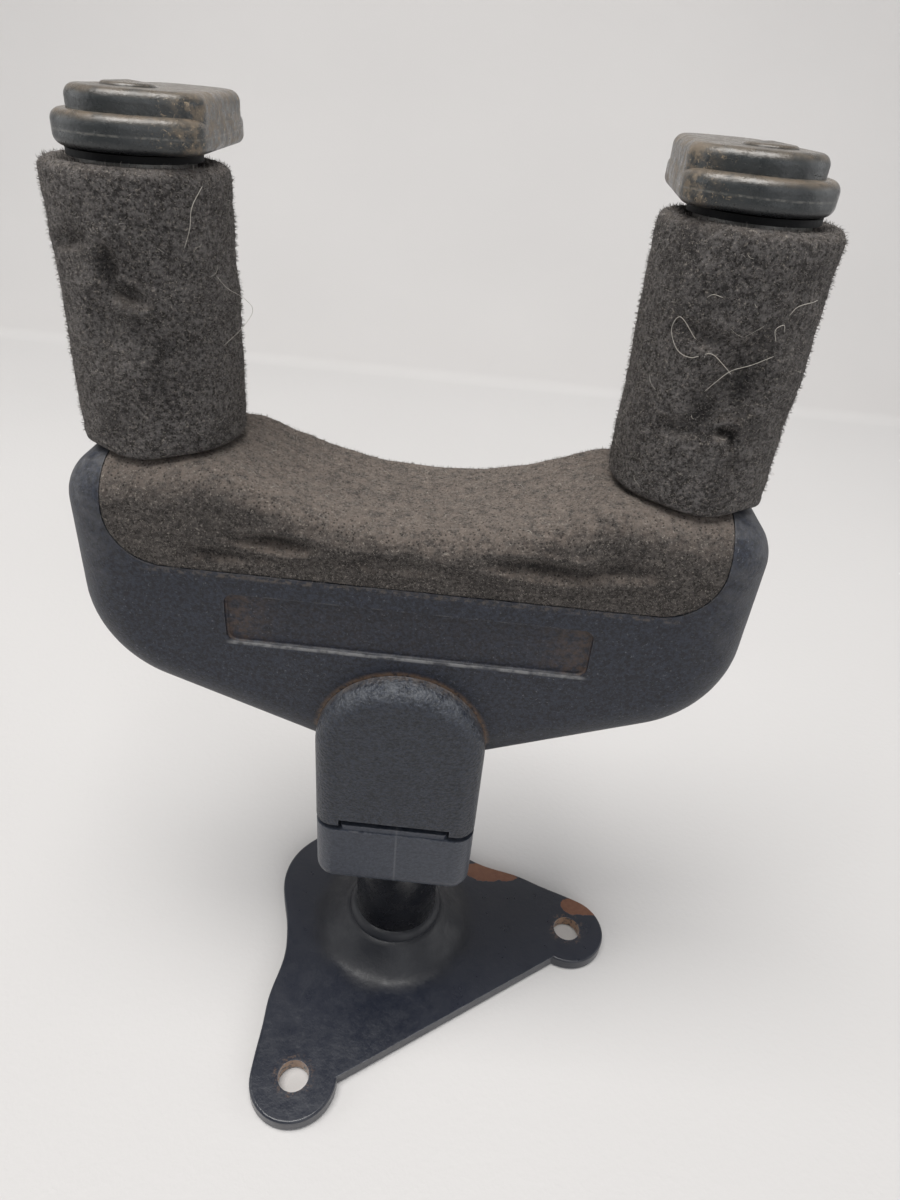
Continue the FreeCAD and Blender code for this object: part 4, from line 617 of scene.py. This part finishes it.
# ------------------------------------------------------------------ saddle pad
def saddle():
    """Foam folded over the neck saddle: a U section lofted along X."""
    L = 48.62
    xs = np.linspace(-L, L, 250)

    def top(x):
        s = 70 - math.sqrt(70 * 70 - min(abs(x), 60) ** 2)
        s = 6.8 - 0.35 * math.log(1 + math.exp((6.8 - s) / 0.35)) if s < 12 else 6.8
        s = min(s, 6.8)
        return -(118.8 + s)

    def edge(x):
        a = abs(x)
        if a <= 39.7:
            return -108.98
        t = min(a - 39.7, 8.92)
        return -108.98 - (9.0 - math.sqrt(max(0.0, 81.0 - t * t)))

    secs = []
    for x in xs:
        yt, ye = top(x), edge(x)
        inset = max(0.0, abs(x) - (L - 0.8))
        roll = 0.8 - math.sqrt(max(0.0, 0.64 - inset * inset))
        half = 15.47 - roll * 0.25
        yt2 = yt + roll * 0.3
        # front flap edge (rolled), face, ridge, crown; then mirrored
        k = min(ridge_at(x), (ye - yt2) * 0.9)
        pts = [(half - 2.6, ye + 0.02), (half - 0.3, ye), (half - 0.06, ye - 0.08), (half, ye - 0.3)]
        for a in np.linspace(0, 90, 12):
            pts.append((half - k + k * math.cos(math.radians(a)), yt2 + k * 0.95 - k * 0.95 * math.sin(math.radians(a))))
        pts.append((half * 0.45, yt2 + 0.05))
        outer = resample(pts, 0.42)
        secs.append(outer)
    m = min(len(s) for s in secs)
    m = 62
    rings = np.zeros((len(xs), 2 * m + 30, 3))
    for i, x in enumerate(xs):
        s = secs[i]
        t = np.linspace(0, 1, len(s))
        tt = np.linspace(0, 1, m)
        s = np.c_[np.interp(tt, t, s[:, 0]), np.interp(tt, t, s[:, 1])]
        # one side, the crown, the other side
        crown = np.linspace(s[-1, 0], -s[-1, 0], 12)[1:-1]
        loop = [(z, y, 1) for z, y in s] + [(z, s[-1, 1], 1) for z in crown] + [(-z, y, 1) for z, y in s[::-1]]
        zi = s[0, 0] - 0.25
        yi = top(x) + 4.35
        ye = s[0, 1]
        yi = min(yi, ye - 0.4)
        inn = []
        for q in np.linspace(0, 1, 6)[1:]:
            inn.append((-zi, ye + (yi - ye) * q, 0))
        for q in np.linspace(-zi, zi, 12)[1:-1]:
            inn.append((q, yi, 0))
        for q in np.linspace(0, 1, 6)[:-1]:
            inn.append((zi, yi + (ye - yi) * q, 0))
        loop += inn
        for k, (z, y, f) in enumerate(loop):
            if k >= rings.shape[1]:
                break
            d = (0.0, 0.0)
            if f:
                p = Vector((x, y, z))
                e = min(1.0, max(0.0, (edge(x) - y) / 2.2)) * min(1.0, (L - abs(x)) / 1.5 + 0.05)
                n = 0.55 * fbm(p, 0.07, 2, 2.0) + 0.20 * fbm(p, 0.35, 3, 4.0) + 0.12 * fbm(p, 1.8, 2, 9.0)
                face = max(0.0, min(1.0, (abs(z) - 9) / 5.5))
                if z > 0:
                    # eye-shaped dents in the front flap
                    for cx, cy, wx, wy, dp in ((21.5, -115.0, 6.0, 1.3, 1.3), (-21.5, -115.2, 9.0, 1.5, 1.2), (31, -112.2, 7, 1.2, 0.5),
                                               (-33.0, -116.5, 5, 1.4, 0.7), (3, -113.4, 9, 1.3, 0.35)):
                        q = ((x - cx) / wx) ** 2 + ((y - cy) / wy) ** 2
                        if q < 8:
                            n -= 1.3 * dp * face * math.exp(-q)
                            n += dp * 0.35 * face * math.exp(-((math.sqrt(q) - 1.5) / 0.5) ** 2)
                n *= e
                # push along the section's outward direction
                ny = -(1.0 - face)
                nz = face * (1 if z > 0 else -1)
                l = math.hypot(ny, nz) or 1.0
                d = (n * ny / l, n * nz / l)
            rings[i, k] = (x, y + d[0], z + d[1])
    used = len(loop)
    rings = rings[:, :used]
    o = grid_mesh("saddle_foam", rings, cap=True)
    o.data.materials.append(SADDLE)
    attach(o, "yoke")
    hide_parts("saddle_pad")
    return o


saddle_foam = saddle()


# ------------------------------------------------------------------ fuzz and lint
def mesh_object(name, verts_mm, faces, mat):
    me = bpy.data.meshes.new(name)
    me.from_pydata((np.asarray(verts_mm) * MM).tolist(), [], faces)
    me.update()
    me.polygons.foreach_set("use_smooth", [True] * len(me.polygons))
    o = bpy.data.objects.new(name, me)
    bpy.context.scene.collection.objects.link(o)
    o.data.materials.append(mat)
    return o


def fuzz(name, src, count, keep, seed, lmin=0.25, lmax=0.75):
    """Short bent fibres rooted in the foam's skin, each a small closed spike."""
    rng = np.random.default_rng(seed)
    me = src.data
    n = len(me.polygons)
    cen = np.zeros(n * 3)
    nor = np.zeros(n * 3)
    ar = np.zeros(n)
    me.polygons.foreach_get("center", cen)
    me.polygons.foreach_get("normal", nor)
    me.polygons.foreach_get("area", ar)
    cen = cen.reshape(-1, 3) / MM
    nor = nor.reshape(-1, 3)
    ok = keep(cen, nor)
    p = np.where(ok, ar, 0)
    idx = rng.choice(n, size=count, p=p / p.sum())
    size = np.sqrt(ar[idx]) / MM
    c, v = cen[idx], nor[idx]
    jit = rng.normal(size=(count, 3)) * 0.45 * size[:, None]
    jit -= (jit * v).sum(1)[:, None] * v
    c = c + jit
    tan = rng.normal(size=(count, 3))
    tan -= (tan * v).sum(1)[:, None] * v
    tan /= np.linalg.norm(tan, axis=1)[:, None]
    bit = np.cross(v, tan)
    ln = rng.uniform(lmin, lmax, count) ** 1.0
    rad = rng.uniform(0.03, 0.055, count)
    lean = rng.uniform(0.3, 1.4, count)
    verts, faces = [], []
    for i in range(count):
        root = c[i] - v[i] * 0.12
        d1 = v[i] + tan[i] * lean[i] * 0.35
        d2 = v[i] * 0.55 + tan[i] * lean[i]
        mid = root + d1 / np.linalg.norm(d1) * (ln[i] * 0.55 + 0.1)
        tip = mid + d2 / np.linalg.norm(d2) * ln[i] * 0.55
        b = len(verts)
        for q, r in ((root, rad[i]), (mid, rad[i] * 0.75)):
            for a in (0.0, 2.0944, 4.1888):
                verts.append(q + (tan[i] * math.cos(a) + bit[i] * math.sin(a)) * r)
        verts.append(tip)
        faces += [(b, b + 2, b + 1)]
        for k in range(3):
            l = (k + 1) % 3
            faces += [(b + k, b + l, b + 3 + l, b + 3 + k), (b + 3 + k, b + 3 + l, b + 6)]
    return mesh_object(name, verts, faces, FUZZ)


def strand(points, radius, sides=5, step=0.25):
    """A closed thin tube through the points (Catmull-Rom)."""
    P = [np.array(p, float) for p in points]
    P = [2 * P[0] - P[1]] + P + [2 * P[-1] - P[-2]]
    path = []
    for i in range(1, len(P) - 2):
        n = max(2, int(np.linalg.norm(P[i + 1] - P[i]) / step))
        for t in np.linspace(0, 1, n, endpoint=False):
            a, b, c, d = P[i - 1:i + 3]
            path.append(0.5 * (2 * b + (c - a) * t + (2 * a - 5 * b + 4 * c - d) * t * t + (3 * b - a - 3 * c + d) * t ** 3))
    path.append(P[-2])
    path = np.array(path)
    verts, faces = [], []
    ref = np.array((0.3, 0.5, 0.8))
    for i, q in enumerate(path):
        t = path[min(i + 1, len(path) - 1)] - path[max(i - 1, 0)]
        t /= np.linalg.norm(t) + 1e-9
        u = np.cross(t, ref)
        u /= np.linalg.norm(u)
        w = np.cross(t, u)
        r = radius * (0.35 if i in (0, len(path) - 1) else 1.0)
        for k in range(sides):
            a = 2 * math.pi * k / sides
            verts.append(q + (u * math.cos(a) + w * math.sin(a)) * r)
    n = len(path)
    for i in range(n - 1):
        for k in range(sides):
            l = (k + 1) % sides
            faces.append((i * sides + k, i * sides + l, (i + 1) * sides + l, (i + 1) * sides + k))
    faces.append(tuple(range(sides))[::-1])
    faces.append(tuple((n - 1) * sides + k for k in range(sides)))
    return verts, faces


# ------------------------------------------------------------------ return springs
for tag, sign in (("right", 1), ("left", -1)):
    pts = []
    for i in range(177):
        t = i / 176.0
        a = 2 * math.pi * 8.0 * t
        pts.append((12.6 * sign + 2.6 * math.cos(a), -82.6 + 2.6 * math.sin(a), -7.9 + 20.5 * t))
    v, f = strand(pts, 0.4, 8, 1.0)
    o = mesh_object("coil_" + tag, v, f, STEEL)
    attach(o, "swivel")
    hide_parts("return_spring_" + tag)
    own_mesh(o)


def strands(name, lists, mat, body):
    verts, faces = [], []
    for pts, r in lists:
        v, f = strand(pts, r)
        b = len(verts)
        verts += v
        faces += [tuple(q + b for q in face) for face in f]
    o = mesh_object(name, verts, faces, mat)
    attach(o, body)
    return o


def on_sleeve(sign, ang, h, lift=0.3):
    r = 12.5 + lift
    return (42.5 * sign + r * math.cos(math.radians(ang)), -126.0 - h, r * math.sin(math.radians(ang)))


FUZZ = mat_fuzz()
for tag, sign, src in (("right", 1, sleeve_right), ("left", -1, sleeve_left)):
    X = 42.5 * sign

    def skin(c, nrm, X=X):
        r = np.hypot(c[:, 0] - X, c[:, 2])
        return (r > 9.4) & (c[:, 1] < -127.0) & ((r > 11.0) | (nrm[:, 1] < -0.2))

    f = fuzz("sleeve_fuzz_" + tag, src, 9000, skin, 11 + sign)
    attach(f, "yoke")


def pad_skin(c, nrm):
    top = (nrm[:, 1] < -0.25) & (c[:, 1] < -112)
    face = (np.abs(c[:, 2]) > 14.0) & (np.abs(nrm[:, 2]) > 0.5)
    out = (np.hypot(np.abs(c[:, 0]) - 42.5, c[:, 2]) > 12.6)
    return (top | face) & out & (np.abs(c[:, 0]) < 48.2)


f = fuzz("saddle_fuzz", saddle_foam, 11000, pad_skin, 21, 0.2, 0.6)
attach(f, "yoke")

S = on_sleeve
long_ones = [
    ([S(1, 134, 30, .2), S(1, 138, 32.5, .5), S(1, 141, 35, .35), S(1, 150, 37.5, .3)], 0.045),
    ([S(1, 158, 16, .1), S(1, 166, 18.5, 2.2), S(1, 170, 21, 3.6), S(1, 164, 23, 3.4), S(1, 158, 24.5, 1.6), S(1, 156, 26, .2)], 0.03),
    ([S(-1, 60, 25.2, .2), S(-1, 48, 27.6, .5), S(-1, 44, 25.8, .6), S(-1, 50, 23.4, .4), S(-1, 60, 22.8, .5), S(-1, 71, 23.8, .4), S(-1, 80, 22.6, .5), S(-1, 86, 21.4, .2)], 0.045),
    ([S(-1, 73, 18.6, .1), S(-1, 78, 20.2, .4), S(-1, 85, 22, .5), S(-1, 96, 23, .4), S(-1, 110, 24.2, .1)], 0.04),
    ([S(-1, 112, 29.5, .1), S(-1, 116, 30.7, .3), S(-1, 127, 31.2, .4), S(-1, 134, 31.3, .1)], 0.045),
    ([S(-1, 108, 26.2, .1), S(-1, 104, 27.8, .6), S(-1, 109, 28.4, .5), S(-1, 112, 27.4, .2)], 0.045),
    ([S(-1, 60, 30.5, .1), S(-1, 64, 31.2, .4), S(-1, 70, 31.0, .3)], 0.04),
]
strands("sleeve_lint", long_ones, LINT, "yoke")

rng = np.random.default_rng(5)
short = []
for sign in (1, -1):
    for _ in range(34):
        a, h = rng.uniform(0, 360), rng.uniform(2, 37)
        ln, tilt = rng.uniform(0.5, 2.2), rng.uniform(-1, 1)
        da = ln / 12.5 * 57.3
        pts = [S(sign, a, h, 0.05), S(sign, a + da * 0.5, h + tilt * ln * 0.5 + rng.uniform(-.2, .2), rng.uniform(.3, .7)), S(sign, a + da, h + tilt * ln, 0.2)]
        short.append((pts, rng.uniform(0.016, 0.026)))
strands("sleeve_short_lint", short, LINT, "yoke")
short = []
for _ in range(30):
    x, z = rng.uniform(-30, 30), rng.uniform(-12, 14)
    y = -(118.8 + 70 - math.sqrt(4900 - x * x)) - 0.1
    a, ln = rng.uniform(0, 6.28), rng.uniform(0.4, 1.8)
    dx, dz = math.cos(a) * ln, math.sin(a) * ln
    short.append(([(x, y, z), (x + dx * .5, y - rng.uniform(.3, .6), z + dz * .5), (x + dx, y - 0.2 - 0.4 * abs(dx) * abs(x) / 60, z + dz)], rng.uniform(0.02, 0.035)))
strands("saddle_lint", short, LINT, "yoke")


# ------------------------------------------------------------------ stage, light, camera
def stage():
    prof = [(1.4, 0.0006)]
    prof += [(-0.42, 0.0006)]
    for a in np.linspace(0, 90, 16):
        prof.append((-0.42 - 0.28 * math.sin(math.radians(a)), 0.0006 - 0.28 + 0.28 * math.cos(math.radians(a))))
    prof.append((-0.70, -2.2))
    rows = np.zeros((len(prof), 2, 3))
    for i, (z, y) in enumerate(prof):
        rows[i, 0] = (-1.6 / MM, y / MM, z / MM)
        rows[i, 1] = (1.6 / MM, y / MM, z / MM)
    o = grid_mesh("backdrop", rows, closed_u=False)
    m = Mat("backdrop_paper")
    c = m.mix(m.noise(0.004, 3), srgb(206, 204, 203), srgb(216, 214, 213))
    m.set(color=c, rough=0.85, spec=0.2, normal=m.bump(m.noise(0.8, 3), 0.05))
    tr = m.t.nodes.new("ShaderNodeBsdfTransparent")
    mx = m.t.nodes.new("ShaderNodeMixShader")
    g = m.t.nodes.new("ShaderNodeNewGeometry")
    # which side is "behind": the row's +Y half
    m.t.links.new(g.outputs["Backfacing"], mx.inputs[0])
    m.t.links.new(m.b.outputs[0], mx.inputs[1])
    m.t.links.new(tr.outputs[0], mx.inputs[2])
    m.t.links.new(mx.outputs[0], m.out.inputs[0])
    o.data.materials.append(m.m)
    # front side looks towards -Y and +Z
    me = o.data
    if me.polygons[0].normal.y > 0:
        me.flip_normals()


stage()


def area(name, pos, target, size, power, color=(1, 1, 1)):
    l = bpy.data.lights.new(name, "AREA")
    l.shape = "RECTANGLE"
    l.size, l.size_y = size
    l.energy = power
    l.color = color
    o = bpy.data.objects.new(name, l)
    bpy.context.scene.collection.objects.link(o)
    o.location = pos
    d = Vector(target) - Vector(pos)
    o.rotation_euler = d.to_track_quat("-Z", "Y").to_euler()
    return o


area("key", (0.12, -0.92, 0.12), (0, -0.08, 0), (0.60, 0.45), 8.6, (1.0, 0.985, 0.96))
area("front_fill", (-0.35, -0.45, 0.75), (0, -0.08, 0), (0.8, 0.6), 1.7, (0.97, 0.98, 1.0))
area("right_fill", (0.85, -0.35, 0.10), (0, -0.08, 0), (0.6, 0.8), 1.8)
area("left_fill", (-0.85, -0.35, 0.0), (0, -0.08, 0), (0.6, 0.8), 1.8)
area("behind", (0.1, 0.7, 0.35), (0, -0.08, 0), (0.9, 0.7), 2.2)

w = bpy.data.worlds.new("studio")
bpy.context.scene.world = w
w.use_nodes = True
w.node_tree.nodes["Background"].inputs[0].default_value = (0.86, 0.87, 0.89, 1)
w.node_tree.nodes["Background"].inputs[1].default_value = 0.26
bpy.context.scene.view_settings.view_transform = "Standard"
bpy.context.scene.view_settings.look = "None"

# camera: pitch 33.27 degrees down on the wall plate, rolled 5.41 degrees
pitch, yaw, roll = math.radians(33.27), math.radians(-0.87), math.radians(5.41)


def row(x, y, z):
    return Vector((-x, -z, -y))


fw = row(math.sin(yaw) * math.cos(pitch), math.cos(yaw) * math.cos(pitch), -math.sin(pitch))
right = row(math.cos(yaw), -math.sin(yaw), 0.0)
up = right.cross(fw)
cx = right * math.cos(roll) + up * math.sin(roll)
cy = up * math.cos(roll) - right * math.sin(roll)
cam = bpy.data.cameras.new("camera")
cam.sensor_width = 36.0
cam.lens = 24.0
cam.clip_start = 0.01
co = bpy.data.objects.new("camera", cam)
bpy.context.scene.collection.objects.link(co)
mw = Matrix((cx, cy, -fw)).transposed().to_4x4()
mw.translation = Vector((-8.15, -178.54, 122.65)) * MM
co.matrix_world = mw
bpy.context.scene.camera = co
